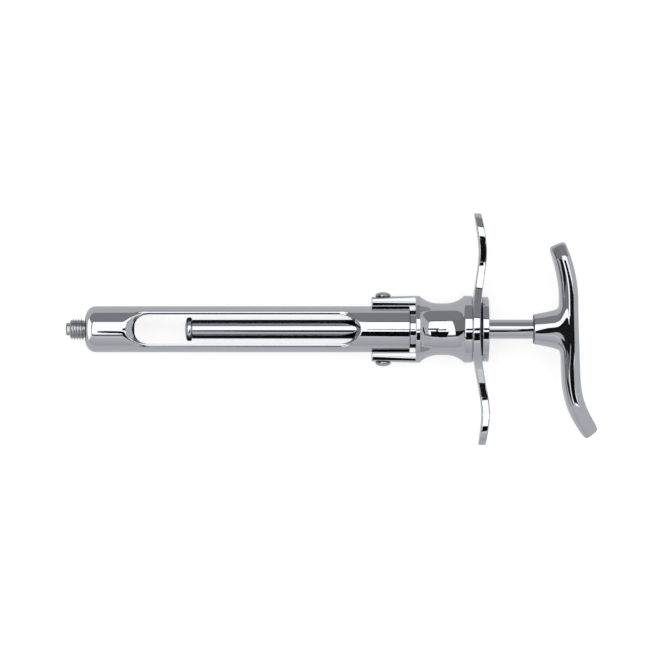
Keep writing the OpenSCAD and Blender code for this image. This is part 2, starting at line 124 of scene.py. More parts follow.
class SyringeSizes(bpy.types.PropertyGroup):
    """Sizes of the pieces; places are stations along the axis or distances from it"""

    barrel_r: length("Barrel radius", "Outer radius of the barrel tube", 6.4)
    barrel_len: length("Barrel length", "Length of the barrel tube", 90)
    bore_r: length("Bore radius", "Radius of the cartridge bore", 4.65)
    nose_wall: length("Nose wall", "Wall between the nose and the bore", 3)
    nose_round: length("Nose rounding", "Length of the rounded nose corner", 2.8)
    nose_flat_r: length("Nose flat radius", "Radius of the flat on the nose", 3.1)
    window_start: length("Window start", "Front end of the clear window", 13.3)
    window_end: length("Window end", "Rear end of the clear window", 75.3)
    window_half: length("Window half width", "Half width of the clear window", 4.1)
    front_arc: length("Front arc", "Length of the curved front end of the window", 4.9)
    rear_arc: length("Rear arc", "Length of the curved rear end of the window", 5.4)
    lip_round: length("Lip rounding", "Radius of the polished lips of the window", 0.55)
    lip_z: length("Lip height", "Height of the lips above the axis", 4.1)
    front_reach: length("Front dressing", "Reach of the dressed front end beyond the window", 2.9)
    rear_bevel_z: length("Rear bevel height", "Height at which the dressed rear end starts", 5.5)
    rear_reach: length("Rear dressing", "Reach of the dressed rear end beyond the window", 1.7)

    thread_r: length("Thread radius", "Crest radius of the needle thread", 2.9)
    thread_depth: length("Thread depth", "Depth of the needle thread", 0.42)
    thread_pitch: length("Thread pitch", "Pitch of the needle thread", 0.75)
    thread_len: length("Thread length", "Length of the threaded part", 4.2)
    nipple_r: length("Nipple radius", "Radius of the plain tip", 1.75)
    nipple_len: length("Nipple length", "Length of the plain tip", 1.2)
    needle_hole_r: length("Needle hole radius", "Radius of the hole for the needle", 0.8)
    shank_r: length("Shank radius", "Radius of the shank in the nose", 2.18)

    hinge_x: length("Hinge station", "Where the hinge axis crosses the barrel", 82.65)
    arm_x: length("Arm end", "Front end of the fork arms", 79.45)
    arm_half: length("Arm half width", "Half width of the fork arms", 2.6)
    arm_tip_r: length("Arm tip radius", "Outer radius of the arms at their front end", 9)
    arm_bore_r: length("Arm bore radius", "Inner radius of the arms", 6.95)
    arm_crown: length("Arm crown", "How far polishing has crowned the flats of the arms", 0.2)
    screw_head_r: length("Screw head radius", "Radius of the hinge screw heads", 2.15)
    screw_head_h: length("Screw head height", "Height of the hinge screw heads", 1.6)
    screw_thread_r: length("Screw thread radius", "Radius of the hinge screws in the arms", 1.5)
    pivot_r: length("Pivot radius", "Radius of the plain end of the hinge screws", 1.2)
    slot_w: length("Driver slot width", "Width of the driver slot", 0.6)
    slot_depth: length("Driver slot depth", "Depth of the driver slot", 0.6)

    spool_x: length("Spool front", "Front face of the spool", 91.6)
    land_r: length("Land radius", "Radius of the two lands", 9.3)
    front_land: length("Front land", "Length of the front land", 1.2)
    sweep_r: length("Sweep radius", "Radius of the sweep between land and waist", 7.4)
    sweep_len: length("Sweep length", "Length of the sweep along the axis", 5.164)
    waist_r: length("Waist radius", "Radius of the waist", 7.2)
    waist_len: length("Waist length", "Length of the straight waist", 2)
    spool_end: length("Spool end", "Rear face of the spool", 107.278)
    well_r: length("Well radius", "Radius of the well for the collar", 5.35)
    web_x: length("Web front", "Front face of the web, where the spring stands", 99.82)
    web_end: length("Web rear", "Rear face of the web", 102.02)
    guide_r: length("Guide radius", "Radius of the stem guide in the web", 4.1)
    nut_room_r: length("Nut room radius", "Radius of the room for the ring nut", 5.8)
    sleeve_x: length("Sleeve front", "Front end of the cap's sleeve", 104.978)
    sleeve_r: length("Sleeve radius", "Outer radius of the cap's sleeve", 6.6)

    collar_x: length("Collar front", "Front face of the sliding collar", 90.02)
    collar_head: length("Collar head", "Length of the collar head", 3.3)
    collar_r: length("Collar radius", "Radius of the collar head", 5.25)
    stem_r: length("Stem radius", "Radius of the collar stem", 4.05)
    stem_end_r: length("Stem end radius", "Radius of the stem under the ring nut", 3.45)
    stem_step: length("Stem step", "Where the stem steps down for the nut", 102.04)
    stem_end: length("Stem end", "Rear end of the collar stem", 103.34)
    collar_travel: length("Collar travel", "How far the collar slides back", 2.5)
    wire_r: length("Wire radius", "Radius of the spring wire", 0.35)
    spring_r: length("Spring radius", "Middle radius of the spring", 4.7)
    spring_turns: bpy.props.IntProperty(
        name="Spring turns", description="Turns of the spring", default=4, min=2
    )
    recess_r: length("Recess radius", "Radius of the recess for the plunger tip", 3.6)
    recess_len: length("Recess depth", "Depth of the recess for the plunger tip", 5)
    stem_bore_r: length("Stem bore radius", "Radius of the hole for the rod", 2.95)

    plate_t: length("Plate thickness", "Thickness of the finger plate", 2.1)
    plate_edge: length("Plate edge rounding", "Rounding of the plate's edges", 0.3)
    hub_half: length("Hub half width", "Half width of the plate's hub", 9.4)
    neck_half: length("Neck half width", "Half width of the wing necks", 3.65)
    wing_half: length("Wing half width", "Half width of the wings near their tips", 4.7)
    wing_reach: length("Wing reach", "Distance from the axis to the wing tips", 32.2)
    upper_neck: length("Upper neck", "Distance from the axis of the upper neck", 16.6)
    lower_neck: length("Lower neck", "Distance from the axis of the lower neck", 19.2)
    upper_bow: length("Upper bow", "How far the upper wing bows back", 2)
    upper_bow_y: length("Upper bow place", "Where the upper wing bows most", 21.5)
    upper_tip: length("Upper tip", "How far the tip of the upper wing stays back", 0.35)
    lower_bow: length("Lower bow", "How far the lower wing bows back", 2.75)
    lower_bow_y: length("Lower bow place", "Where the lower wing bows most", 23.5)
    lower_tip: length("Lower tip", "How far the tip of the lower wing stays back", 1.6)
    boss_r: length("Boss radius", "Radius of the flat boss against the spool", 9)
    seat_r: length("Seat radius", "Radius of the flat seat of the washer", 7.7)
    plate_bore_r: length("Plate bore radius", "Radius of the hole in the plate", 6.67)

    washer_t: length("Washer thickness", "Thickness of the washer", 0.7)
    washer_r: length("Washer radius", "Radius of the washer", 7.4)
    cap_r: length("Cap radius", "Radius of the end cap", 9)
    cap_t: length("Cap thickness", "Thickness of the end cap", 1.8)
    cap_bore_r: length("Cap bore radius", "Radius of the rod hole in the cap", 2.7)

    tip_x: length("Plunger tip front", "Front of the plunger tip at rest", 27.6)
    tip_len: length("Plunger tip length", "Length of the plunger tip", 2.1)
    tip_r: length("Plunger tip radius", "Radius of the plunger tip", 3.3)
    rod_r: length("Rod radius", "Radius of the plunger rod", 2.65)
    stud_r: length("Stud radius", "Radius of the rod's front stud", 1.5)
    stud_len: length("Stud length", "Length of the rod's front stud", 1.4)
    rod_show: length("Rod show", "Length of rod behind the cap", 12.4)

    handle_neck: length("Handle neck", "Length of the neck, up to the crossbar", 7.3)
    neck_r: length("Neck radius", "Radius of the neck at its face", 4.15)
    neck_root_r: length("Neck root radius", "Radius of the neck at the crossbar", 5.1)
    bar_t: length("Crossbar thickness", "Thickness of the crossbar", 5.1)
    bar_tip_t: length("Crossbar tip thickness", "Thickness of the crossbar near its ends", 4.6)
    bar_w: length("Crossbar width", "Width of the crossbar at the middle", 11)
    upper_tip_w: length("Upper tip width", "Width that the upper arm of the crossbar falls to", 7.8)
    lower_tip_w: length("Lower tip width", "Width that the lower arm of the crossbar falls to", 5.6)
    upper_reach: length("Upper reach", "Reach of the upper end of the crossbar", 23.6)
    lower_reach: length("Lower reach", "Reach of the lower end of the crossbar", 29.2)
    upper_lean: length("Upper lean", "How far the upper end leans forward", 3.3)
    lower_lean: length("Lower lean", "How far the lower end leans back", 6.7)


class SyringeLook(bpy.types.PropertyGroup):
    """Colours of the metals and of the floor"""

    chrome: colour("Chrome", "Polished chrome plating", "#CDD0D7")
    rod_chrome: colour("Rod chrome", "Chrome of the plunger rod", "#CBCED5")
    adaptor: colour("Adaptor steel", "Machined steel of the needle adaptor", "#B4B6BA")
    screw: colour("Screw steel", "Steel of the hinge screws and the nut", "#BDBFC3")
    spring: colour("Spring wire", "Drawn steel wire of the spring", "#8F9194")
    # the washer's dark colour is painted shade for the narrow groove between the plate and the cap
    washer: colour("Washer", "Dark steel of the washer", "#3A3B3E")
    floor: colour("Floor", "Plain pale floor", "#C9C9C9")


# ---- geometry helpers ----


def spread(start, end, steps, first=0):
    """Evenly spaced values from start to end, without those before the first step."""
    return [start + (end - start) * i / steps for i in range(first, steps + 1)]


def around(x, r, angle):
    """Point at radius r from the X axis; the angle turns from +Y to +Z."""
    return x, r * math.cos(angle), r * math.sin(angle)


def bezier(a, b, c, d, steps, first=0):
    """Points of a cubic curve; each point is a tuple of two numbers."""
    points = []
    for t in spread(0, 1, steps, first):
        weights = ((1 - t) ** 3, 3 * (1 - t) ** 2 * t, 3 * (1 - t) * t * t, t**3)
        points.append(tuple(sum(w * p[n] for w, p in zip(weights, (a, b, c, d))) for n in (0, 1)))
    return points


def fillet(corners, closed=False, steps=6):
    """Rounds a line of (u, v, radius) corners into a list of (u, v) points."""
    most = 0.49  # share of a neighbouring side that one rounding may take
    points = []
    for i, (u, v, r) in enumerate(corners):
        if r <= 0 or (not closed and i in (0, len(corners) - 1)):
            points.append((u, v))
            continue
        here = Vector((u, v))
        before = Vector(corners[i - 1][:2]) - here
        after = Vector(corners[(i + 1) % len(corners)][:2]) - here
        half = before.angle(after) / 2
        reach = min(r / math.tan(half), before.length * most, after.length * most)
        radius = reach * math.tan(half)
        before.normalize()
        after.normalize()
        centre = here + (before + after).normalized() * (radius / math.sin(half))
        first = here + before * reach - centre
        turn = first.angle_signed(here + after * reach - centre)
        for k in range(steps + 1):
            p = centre + Matrix.Rotation(-turn * k / steps, 2) @ first
            points.append((p.x, p.y))
    return points


def lathe(bm, profile, segments=128, closed=False):
    """Spins a line of (x, radius) points about the X axis.

    A long step gets a ring near each of its ends, which keeps its shading flat.
    """
    long_step, near = 0.4 * MM, 0.03 * MM
    line = []
    for a, b in zip(profile, profile[1:] + profile[:1]):
        line.append(a)
        step = Vector(b) - Vector(a)
        if step.length > long_step and (closed or b != profile[0]):
            inset = step.normalized() * near
            line += [tuple(Vector(a) + inset), tuple(Vector(b) - inset)]
    verts = [bm.verts.new((x, 0, r)) for x, r in line]
    pairs = zip(verts, verts[1:] + verts[:1]) if closed else zip(verts, verts[1:])
    edges = [bm.edges.new(pair) for pair in pairs]
    bmesh.ops.spin(
        bm, geom=verts + edges, cent=(0, 0, 0), axis=(1, 0, 0), angle=2 * math.pi, steps=segments,
        use_merge=True, use_duplicate=False,
    )


def add_grid(bm, rows, closed=False, flip=False):
    """Faces between rows of points that all have the same length."""
    made = [[bm.verts.new(p) for p in row] for row in rows]
    for a, b in zip(made, made[1:]):
        for j in range(len(a) if closed else len(a) - 1):
            k = (j + 1) % len(a)
            quad = (a[j], a[k], b[k], b[j])
            bm.faces.new(quad[::-1] if flip else quad)
    return made


def clean_mesh(bm):
    """Closes seams and poles, and turns the faces outwards."""
    bmesh.ops.remove_doubles(bm, verts=bm.verts, dist=2e-4 * MM)
    bmesh.ops.dissolve_degenerate(bm, edges=bm.edges, dist=1e-5 * MM)
    bmesh.ops.recalc_face_normals(bm, faces=bm.faces)


def piece(name, bm, body, slot, nodes, sharp=35, look=None):
    """Makes the finished object of one piece, with sharp edges where faces turn by more than sharp degrees.

    It takes its slot's metal, or the metal named by look.
    """
    clean_mesh(bm)
    mesh = bpy.data.meshes.new(name)
    bm.to_mesh(mesh)
    bm.free()
    mesh.shade_smooth()
    mesh.set_sharp_from_angle(angle=math.radians(sharp))
    obj = bpy.data.objects.new(name, mesh)
    bpy.context.scene.collection.objects.link(obj)
    mesh.materials.append(METALS[look or slot])
    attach(obj, body)
    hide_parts(*nodes)
    return obj


# ---- barrel ----


def window_half_outline(s):
    """Edge of the clear window, +Y half, from front to rear, as (x, y, normal x, normal y, end share, end).

    The end share is 0 along the side and 1 at the apex. The power of each end would be 2 for half an
    ellipse, and a little more makes it squarer.
    """
    steps, straight = 30, 16
    half = s.window_half
    ends = []
    for end, arc, apex, sign, power in (
        ("front", s.front_arc, s.window_start, -1, 2.5),
        ("rear", s.rear_arc, s.window_end, 1, 2.2),
    ):
        centre = apex - sign * arc
        points = []
        for angle in spread(0, QUARTER, steps):
            along = math.cos(angle) ** (2 / power)
            across = math.sin(angle) ** (2 / power)
            normal = Vector((sign * along ** (power - 1) / arc, across ** (power - 1) / half)).normalized()
            x, y = centre + sign * arc * along, half * across
            points.append((x, y, normal.x, normal.y, abs(normal.x), end))
        ends.append(points)
    front, rear = ends
    side = spread(front[-1][0], rear[-1][0], straight, first=1)[:-1]
    return front + [(x, half, 0, 1, 0, "front") for x in side] + rear[::-1]


def lip_profile(s, x, y, nx, ny, share, end):
    """Points over the polished lip, from the edge of the clear window out to the barrel's surface.

    Toward the apex of each end, where share is 1, the lip turns into a long slanted cut. A pull is how far
    a curve runs straight on before it bends.
    """
    steps = 16
    widening, leaning = 2.2, 1.5  # powers by which the cut sets in toward the apex
    if end == "front":
        reach, bevel_z, slope, inner_pull = s.front_reach, s.bore_r, 42, 2.0 * MM
    else:
        reach, bevel_z, slope, inner_pull = s.rear_reach, s.rear_bevel_z, 31, 1.5 * MM
    outer_pull = 0.9 * MM
    side_pull = 0.95 * s.lip_round
    side_wide = 1.8 * s.lip_round
    wide = side_wide + (reach - side_wide) * share**widening
    low = s.lip_z - s.lip_round
    start_z = low + (bevel_z - low) * share
    lean = math.radians(90 - (90 - slope) * share**leaning)
    end_y = y + ny * wide
    end_z = math.sqrt(s.barrel_r**2 - end_y**2)
    fall = Vector((1, -end_y / end_z * ny)).normalized()
    pull_in = side_pull + (inner_pull - side_pull) * share
    pull_out = side_pull + (outer_pull - side_pull) * share
    dressed = bezier(
        (0, start_z), (math.cos(lean) * pull_in, start_z + math.sin(lean) * pull_in),
        (wide - fall.x * pull_out, end_z - fall.y * pull_out), (wide, end_z), steps,
    )
    # along the sides the lip is a low roof: one narrow flat leans into the window, the other out of it
    rise, top, last_pull = 0.055 * MM, s.lip_z, 0.15 * MM
    knee = (0.68 * MM, top - rise * 0.8)
    side = bezier((0, low), (0, low + 0.4 * MM), (0.02 * MM, top - rise * 1.05), (0.08 * MM, top - rise), 6)
    for t, drop in ((0.11, 0.91), (0.38, 0.09), (0.41, 0), (0.45, 0), (0.6, 0.5)):
        side.append((t * MM, top - rise * drop))
    side.append(knee)
    side += bezier(
        knee, (0.76 * MM, top - rise * 1.2), (wide - fall.x * last_pull, end_z - fall.y * last_pull),
        (wide, end_z), steps + 1 - len(side), first=1,
    )
    roof = (1 - share) ** 2
    points = []
    for (t0, z0), (t1, z1) in zip(side, dressed):
        t = t0 * roof + t1 * (1 - roof)
        points.append((x + nx * t, y + ny * t, z0 * roof + z1 * (1 - roof)))
    return points


def build_barrel(s):
    """Tube with a window through both walls: patches of one quarter, set four times."""
    bm = bmesh.new()
    arc_steps = 40
    outline = window_half_outline(s)
    lips = [lip_profile(s, *p) for p in outline]

    def arc(x, y, r):
        """Row of points at radius r, from height y round to the tube's side."""
        angles = spread(math.asin(min(1, y / r)), QUARTER, arc_steps)
        return [(x, r * math.sin(a), r * math.cos(a)) for a in angles]

    outer = [arc(lip[-1][0], lip[-1][1], s.barrel_r) for lip in lips]
    bore = [arc(p[0], p[1], s.bore_r) for p in outline]
    walls = [[(x, y, math.sqrt(max(0, s.bore_r**2 - y**2))), lip[0]]
             for (x, y, *_), lip in zip(outline, lips)]

    hole_r = s.shank_r + FIT
    nose = [(x, s.barrel_r) for x in spread(lips[0][-1][0], s.nose_round, 8)]
    round_r = s.barrel_r - s.nose_flat_r
    for a in spread(0, QUARTER, 14, first=1):
        nose.append((s.nose_round * (1 - math.sin(a)), s.nose_flat_r + round_r * math.cos(a)))
    nose += [(0, hole_r), (s.nose_wall, hole_r)]
    nose += [(x, s.bore_r) for x in spread(s.nose_wall, s.window_start, 6)]

    end, soft, lead, chamfer = s.barrel_len, 0.25 * MM, 0.3 * MM, 0.5 * MM
    tail = [(x, s.barrel_r) for x in spread(lips[-1][-1][0], end - soft, 8)]
    tail += fillet([(end - lead, s.barrel_r, 0), (end, s.barrel_r, soft), (end, s.bore_r + chamfer, 0)])[1:]
    tail += [(x, s.bore_r) for x in spread(end - chamfer, s.window_end, 6)]

    patches = [lips, outer, bore, walls]
    patches += [[arc(x, 0, r) for x, r in line] for line in (nose, tail)]
    for side_y in (1, -1):
        for side_z in (1, -1):
            for rows in patches:
                quarter = [[(x, y * side_y, z * side_z) for x, y, z in row] for row in rows]
                add_grid(bm, quarter, flip=side_y * side_z < 0)
    return bm


# ---- needle adaptor ----


def build_adaptor(s):
    """Nipple with a real right-hand helical thread, drilled through."""
    bm = bmesh.new()
    sides, per_pitch = 72, 14
    undercut, run_in, run_out = 0.45 * MM, 0.5 * MM, 0.25 * MM
    crest_top, flank = 1.25, 4.2  # height over the crest's middle and fall in one pitch, cut off at 1 and 0
    front = -s.thread_len
    root = s.thread_r - s.thread_depth
    run_r = root - 0.1 * MM
    groove_r = root - 0.12 * MM
    count = int((s.thread_len - undercut) / s.thread_pitch * per_pitch)
    rows = []
    for x in spread(front, -undercut, count):
        run = max(0, min(1, (x - front) / run_in, (-undercut - x) / run_out))
        limit = run_r + (s.thread_r - run_r) * run
        row = []
        for k in range(sides):
            phase = (x / s.thread_pitch - k / sides) % 1
            crest = min(1, max(0, crest_top - abs(phase - 0.5) * flank))
            crest = crest * crest * (3 - 2 * crest)
            row.append(around(x, min(root + s.thread_depth * crest, limit), 2 * math.pi * k / sides))
        rows.append(row)

    tip_x, hole_r = front - s.nipple_len, s.needle_hole_r
    tip = fillet([
        (front + 0.001 * MM, run_r, 0), (front, s.nipple_r, 0.12 * MM), (tip_x, s.nipple_r, 0.5 * MM),
        (tip_x, hole_r, 0.08 * MM), (front, hole_r, 0), (0, hole_r, 0),
    ])
    back = [
        (-undercut, run_r), (0.05 * MM - undercut, groove_r), (-0.1 * MM, groove_r), (0, root),
        (0, s.shank_r), (s.nose_wall, s.shank_r), (s.nose_wall, hole_r), (0, hole_r),
    ]

    def rings(line):
        return [[around(x, r, 2 * math.pi * k / sides) for k in range(sides)] for x, r in line]

    for grid in (rings(tip), rows, rings(back)):
        add_grid(bm, grid, closed=True)
    return bm


# ---- fork body and hinge screws ----


def spool_profile(s):
    """Closed section of the spool, as (x, radius)."""
    steps = 22
    edge, front_soft, rear_soft, relief = 0.2 * MM, 0.12 * MM, 0.7 * MM, 0.3 * MM
    waist_x = s.spool_x + s.front_land + s.sweep_len
    full = math.asin(s.sweep_len / s.sweep_r)

    def sweep(x, sign, angles):
        centre_r = s.waist_r + s.sweep_r
        return [(x + sign * s.sweep_r * math.sin(a), centre_r - s.sweep_r * math.cos(a), 0) for a in angles]

    front = sweep(waist_x, -1, spread(full, 0, steps))
    rear = sweep(waist_x + s.waist_len, 1, spread(0, full, steps))
    front[0] = (front[0][0], s.land_r, front_soft)
    rear[-3:] = [(rear[-1][0], s.land_r, rear_soft)]
    room_x, room_r = s.sleeve_x - relief, s.sleeve_r + FIT
    corners = [(s.spool_x, s.well_r, edge), (s.spool_x, s.land_r, edge)]
    corners += front + rear + [(s.spool_end, s.land_r, edge)]
    corners += [(x, r, 0) for x, r in (
        (s.spool_end, room_r), (room_x, room_r), (room_x, s.nut_room_r), (s.web_end, s.nut_room_r),
        (s.web_end, s.guide_r), (s.web_x, s.guide_r), (s.web_x, s.well_r),
    )]
    return fillet(corners, closed=True)


def arm_section(s, outer_r, inset, skew):
    """Section of one arm square to X as (y, z).

    Polishing has crowned its two flats. A positive skew moves the crown inward on the +Z flat and outward
    on the other one.
    """
    steps = 14
    outer_soft, inner_soft = 0.18 * MM, 0.108 * MM
    half = s.arm_half - inset

    def along(r, sign, soft):
        limit = sign * math.asin(half / r)
        line = [(r * math.cos(a), r * math.sin(a), 0) for a in spread(limit, -limit, steps)]
        for i in (0, -1):
            line[i] = (*line[i][:2], soft)
        return line

    def flat(a, b, sign):
        points = []
        for t in spread(0, 1, 8, first=1)[:-1]:
            bulge = s.arm_crown * 4 * t * (1 - t) * (1 + skew * (1 - 2 * t))
            points.append((a[0] + (b[0] - a[0]) * t, a[1] + (b[1] - a[1]) * t + sign * bulge, 0))
        return points

    outer = along(outer_r - inset, 1, outer_soft)
    inner = along(s.arm_bore_r + inset, -1, inner_soft)
    corners = outer + flat(outer[-1], inner[0], -1) + inner + flat(inner[-1], outer[0], 1)
    return fillet(corners, closed=True, steps=4)


def build_fork(s):
    """Spool with two arms, whose front ends are rounded."""
    bm = bmesh.new()
    lathe(bm, spool_profile(s), segments=160, closed=True)
    soft, near, root, shy = 0.25 * MM, 0.03 * MM, 0.4 * MM, 1e-5 * MM
    skew_root, skew_tip = 0.1, -0.4
    arm_len = s.spool_x - s.arm_x
    stations = [(s.arm_x + soft * (1 - math.cos(a)), soft * (1 - math.sin(a))) for a in spread(0, QUARTER, 5)]
    stations += [(s.arm_x + x, 0) for x in (soft + near, *spread(soft, arm_len, 10, first=1), arm_len + root)]
    for side in (1, -1):
        rows = []
        for x, inset in stations:
            share = (x - s.arm_x) / arm_len
            # the arm stays a hair under the spool's land, where it runs into it
            outer_r = s.arm_tip_r + (s.land_r - s.arm_tip_r) * min(1, share) - shy
            skew = skew_tip + (skew_root - skew_tip) * share
            rows.append([(x, side * y, side * z) for y, z in arm_section(s, outer_r, inset, skew)])
        made = add_grid(bm, rows, closed=True)
        bm.faces.new(made[0])
        bm.faces.new(made[-1])
    return bm


def build_screw(s, side):
    """Dome-headed screw whose plain end is a pivot of the barrel; the driver slot runs along X."""
    bm = bmesh.new()
    waist_h, foot_in, pivot_gap = 0.65 * MM, 0.35 * MM, 0.1 * MM
    head_y = math.sqrt(s.arm_tip_r**2 - s.screw_head_r**2)
    waist_y = head_y + waist_h
    dome = s.screw_head_h - waist_h
    floor_y = head_y + s.screw_head_h - s.slot_depth
    pivot_y = s.barrel_r + pivot_gap
    cut_r = s.screw_head_r * math.sqrt(1 - ((floor_y - waist_y) / dome) ** 2)
    cap = [(waist_y + dome * math.cos(a), s.screw_head_r * math.sin(a)) for a in spread(0, QUARTER, 30)]
    below = [p for p in cap if p[0] < floor_y]
    below += [(waist_y - waist_h * math.sin(a), s.screw_head_r - foot_in * (1 - math.cos(a)))
              for a in spread(0, QUARTER, 8, first=1)]
    shank = [(head_y, s.screw_thread_r), (s.arm_bore_r, s.screw_thread_r), (s.arm_bore_r, s.pivot_r),
             (pivot_y, s.pivot_r), (pivot_y, 0)]
    lathe(bm, [(floor_y, 0), (floor_y, cut_r)] + below + shank, segments=72)
    clean_mesh(bm)
    # the dome over the slot's floor, cut in two by the slot
    for half in (1, -1):
        part = bmesh.new()
        lathe(part, [p for p in cap if p[0] >= floor_y] + [(floor_y, cut_r), (floor_y, 0)], segments=96)
        clean_mesh(part)
        cut = bmesh.ops.bisect_plane(
            part, geom=part.verts[:] + part.edges[:] + part.faces[:], plane_co=(0, 0, half * s.slot_w / 2),
            plane_no=(0, 0, half), clear_inner=True,
        )
        bmesh.ops.edgeloop_fill(part, edges=[e for e in cut["geom_cut"] if isinstance(e, bmesh.types.BMEdge)])
        temp = bpy.data.meshes.new("screw_half")
        part.to_mesh(temp)
        part.free()
        bm.from_mesh(temp)
        bpy.data.meshes.remove(temp)
    turn = Matrix.Translation((s.hinge_x, 0, 0)) @ Matrix.Rotation(side * QUARTER, 4, "Z")
    bmesh.ops.transform(bm, matrix=turn, verts=bm.verts)
    return bm


# ---- collar and its spring ----


def build_collar(s):
    """Sliding collar: a head with a recess for the plunger tip, and a stem for the ring nut."""
    bm = bmesh.new()
    edge, bore_edge, stem_edge = 0.2 * MM, 0.15 * MM, 0.1 * MM
    back, recess_x = s.collar_x + s.collar_head, s.collar_x + s.recess_len
    corners = [
        (s.collar_x, s.recess_r, bore_edge), (s.collar_x, s.collar_r, edge), (back, s.collar_r, edge),
        (back, s.stem_r, 0), (s.stem_step, s.stem_r, stem_edge), (s.stem_step, s.stem_end_r, 0),
        (s.stem_end, s.stem_end_r, stem_edge), (s.stem_end, s.stem_bore_r, stem_edge),
        (recess_x, s.stem_bore_r, 0), (recess_x, s.recess_r, 0),
    ]
    lathe(bm, fillet(corners, closed=True), closed=True)
    return bm


def build_spring(s):
    """Round wire on a helix that stands on the web and presses on the head of the collar."""
    bm = bmesh.new()
    steps = 48 * s.spring_turns
    start = s.collar_x + s.collar_head + s.wire_r + FIT
    run = s.web_x - s.wire_r - FIT - start
    wire = bmesh.ops.create_circle(
        bm, segments=12, radius=s.wire_r, matrix=Matrix.Translation((start, s.spring_r, 0))
    )["verts"]
    edges = bm.edges[:]
    coil = bmesh.ops.spin(
        bm, geom=wire + edges, cent=(0, 0, 0), axis=(1, 0, 0), dvec=(run / steps, 0, 0),
        angle=2 * math.pi * s.spring_turns, steps=steps, use_duplicate=False,
    )
    for ends in (edges, [e for e in coil["geom_last"] if isinstance(e, bmesh.types.BMEdge)]):
        bmesh.ops.edgeloop_fill(bm, edges=ends)
    return bm


# ---- finger plate ----


def half_outline(s, neck_y):
    """From the middle of the hub to a wing tip, as (distance from the axis, half width)."""
    flare_y = s.wing_reach - 6.5 * MM
    ease, hub_ease = 3 * MM, 7 * MM
    hub = bezier((0, s.hub_half), (hub_ease, s.hub_half), (hub_ease, s.neck_half), (neck_y, s.neck_half), 40)
    wing = bezier((neck_y, s.neck_half), (neck_y + ease, s.neck_half), (flare_y - ease, s.wing_half),
                  (flare_y, s.wing_half), 24, first=1)
    tip = bezier((flare_y, s.wing_half), (flare_y + ease, s.wing_half),
                 (s.wing_reach, s.wing_half - ease / 2), (s.wing_reach, 0), 24, first=1)
    return hub + wing + tip


def wing_line(s, bow, bow_y, tip):
    """How far a wing stands back, from the axis to beyond its tip, as (distance from the axis, x)."""
    level, ease, over = 10.5 * MM, 6 * MM, MM
    line = bezier((0, 0), (level, 0), (bow_y - ease, bow), (bow_y, bow), 60)
    line += bezier((bow_y, bow), (bow_y + ease / 2, bow), (s.wing_reach - ease / 2, (bow + tip) / 2),
                   (s.wing_reach + over, tip), 40, first=1)
    return line


def along_line(line, y):
    """Height and slope of a line of (y, x) points at distance y."""
    for (y0, x0), (y1, x1) in zip(line, line[1:]):
        if y <= y1:
            t = (y - y0) / (y1 - y0)
            return x0 + (x1 - x0) * t, (x1 - x0) / (y1 - y0)
    return line[-1][1], 0


def build_plate(s):
    """Bowed plate: a band of rings from the hole, over the front, round the edge and back over the rear."""
    bm = bmesh.new()
    step, near, across_steps = 0.05 * MM, 0.03 * MM, 20
    mid = s.spool_end + s.plate_t / 2
    upper = wing_line(s, s.upper_bow, s.upper_bow_y, s.upper_tip)
    lower = wing_line(s, s.lower_bow, s.lower_bow_y, s.lower_tip)
    edge = [(-y, half) for y, half in half_outline(s, s.lower_neck)[:0:-1]] + half_outline(s, s.upper_neck)
    outline = edge + [(y, -half) for y, half in edge[-2:0:-1]]

    def face_point(place, side, depth=s.plate_t / 2):
        """Point of the bowed plate over place, a (y, z) vector; side is -1 for the front, 1 for the rear."""
        rise, slope = along_line(upper if place[0] >= 0 else lower, abs(place[0]))
        across = depth * side / math.hypot(1, slope)
        shift = math.copysign(slope, place[0]) * across if place[0] else 0
        shift *= min(1, (s.wing_reach - abs(place[0])) / MM)  # the ends stay within the plate's reach
        return mid + rise + across, place[0] - shift, place[1]

    rounding = [(s.plate_edge * (1 - math.sin(a)), s.plate_t / 2 - s.plate_edge * (1 - math.cos(a)))
                for a in spread(0, QUARTER, 6)]
    rounding.append((0, s.plate_t / 2 - s.plate_edge - near))
    rows = []
    for i, (y, z) in enumerate(outline):
        rim = Vector((y, z))
        direction = rim.normalized()
        tangent = (Vector(outline[(i + 1) % len(outline)]) - Vector(outline[i - 1])).normalized()
        normal = Vector((-tangent.y, tangent.x))
        if normal.dot(rim) < 0:
            normal = -normal
        if abs(z) < 1e-6 * MM:
            normal = Vector((math.copysign(1, y), 0))
        inner = rim - normal * s.plate_edge
        ring = []
        for side, flat_r in ((-1, s.boss_r), (1, s.seat_r)):
            flat_x = mid + side * s.plate_t / 2
            flat = direction * flat_r
            part = [(flat_x, *(direction * s.plate_bore_r)), (flat_x, *(direction * (flat_r - step)))]
            part += [(flat_x - side * step, *flat), face_point(flat, side)]
            part += [face_point(flat + (inner - flat) * t, side) for t in spread(0, 1, across_steps, first=1)]
            part += [face_point(rim - normal * inset, side, depth) for inset, depth in rounding]
            ring += part if side < 0 else part[::-1]
        rows.append(ring + ring[:1])
    add_grid(bm, rows + rows[:1])
    return bm


# ---- turned pieces of the rear end ----


def cap_end(s):
    """Rear face of the end cap."""
    return s.spool_end + s.plate_t + s.washer_t + s.cap_t


def neck_face(s):
    """Front face of the handle's neck."""
    return cap_end(s) + s.rod_show


def build_washer(s):
    """Thin ring behind the plate."""
    bm = bmesh.new()
    edge = 0.1 * MM
    x, hole_r = s.spool_end + s.plate_t, s.sleeve_r + LOOSE
    corners = [(x, hole_r, 0), (x, s.washer_r, edge), (x + s.washer_t, s.washer_r, edge),
               (x + s.washer_t, hole_r, 0)]
    lathe(bm, fillet(corners, closed=True), closed=True)
    return bm


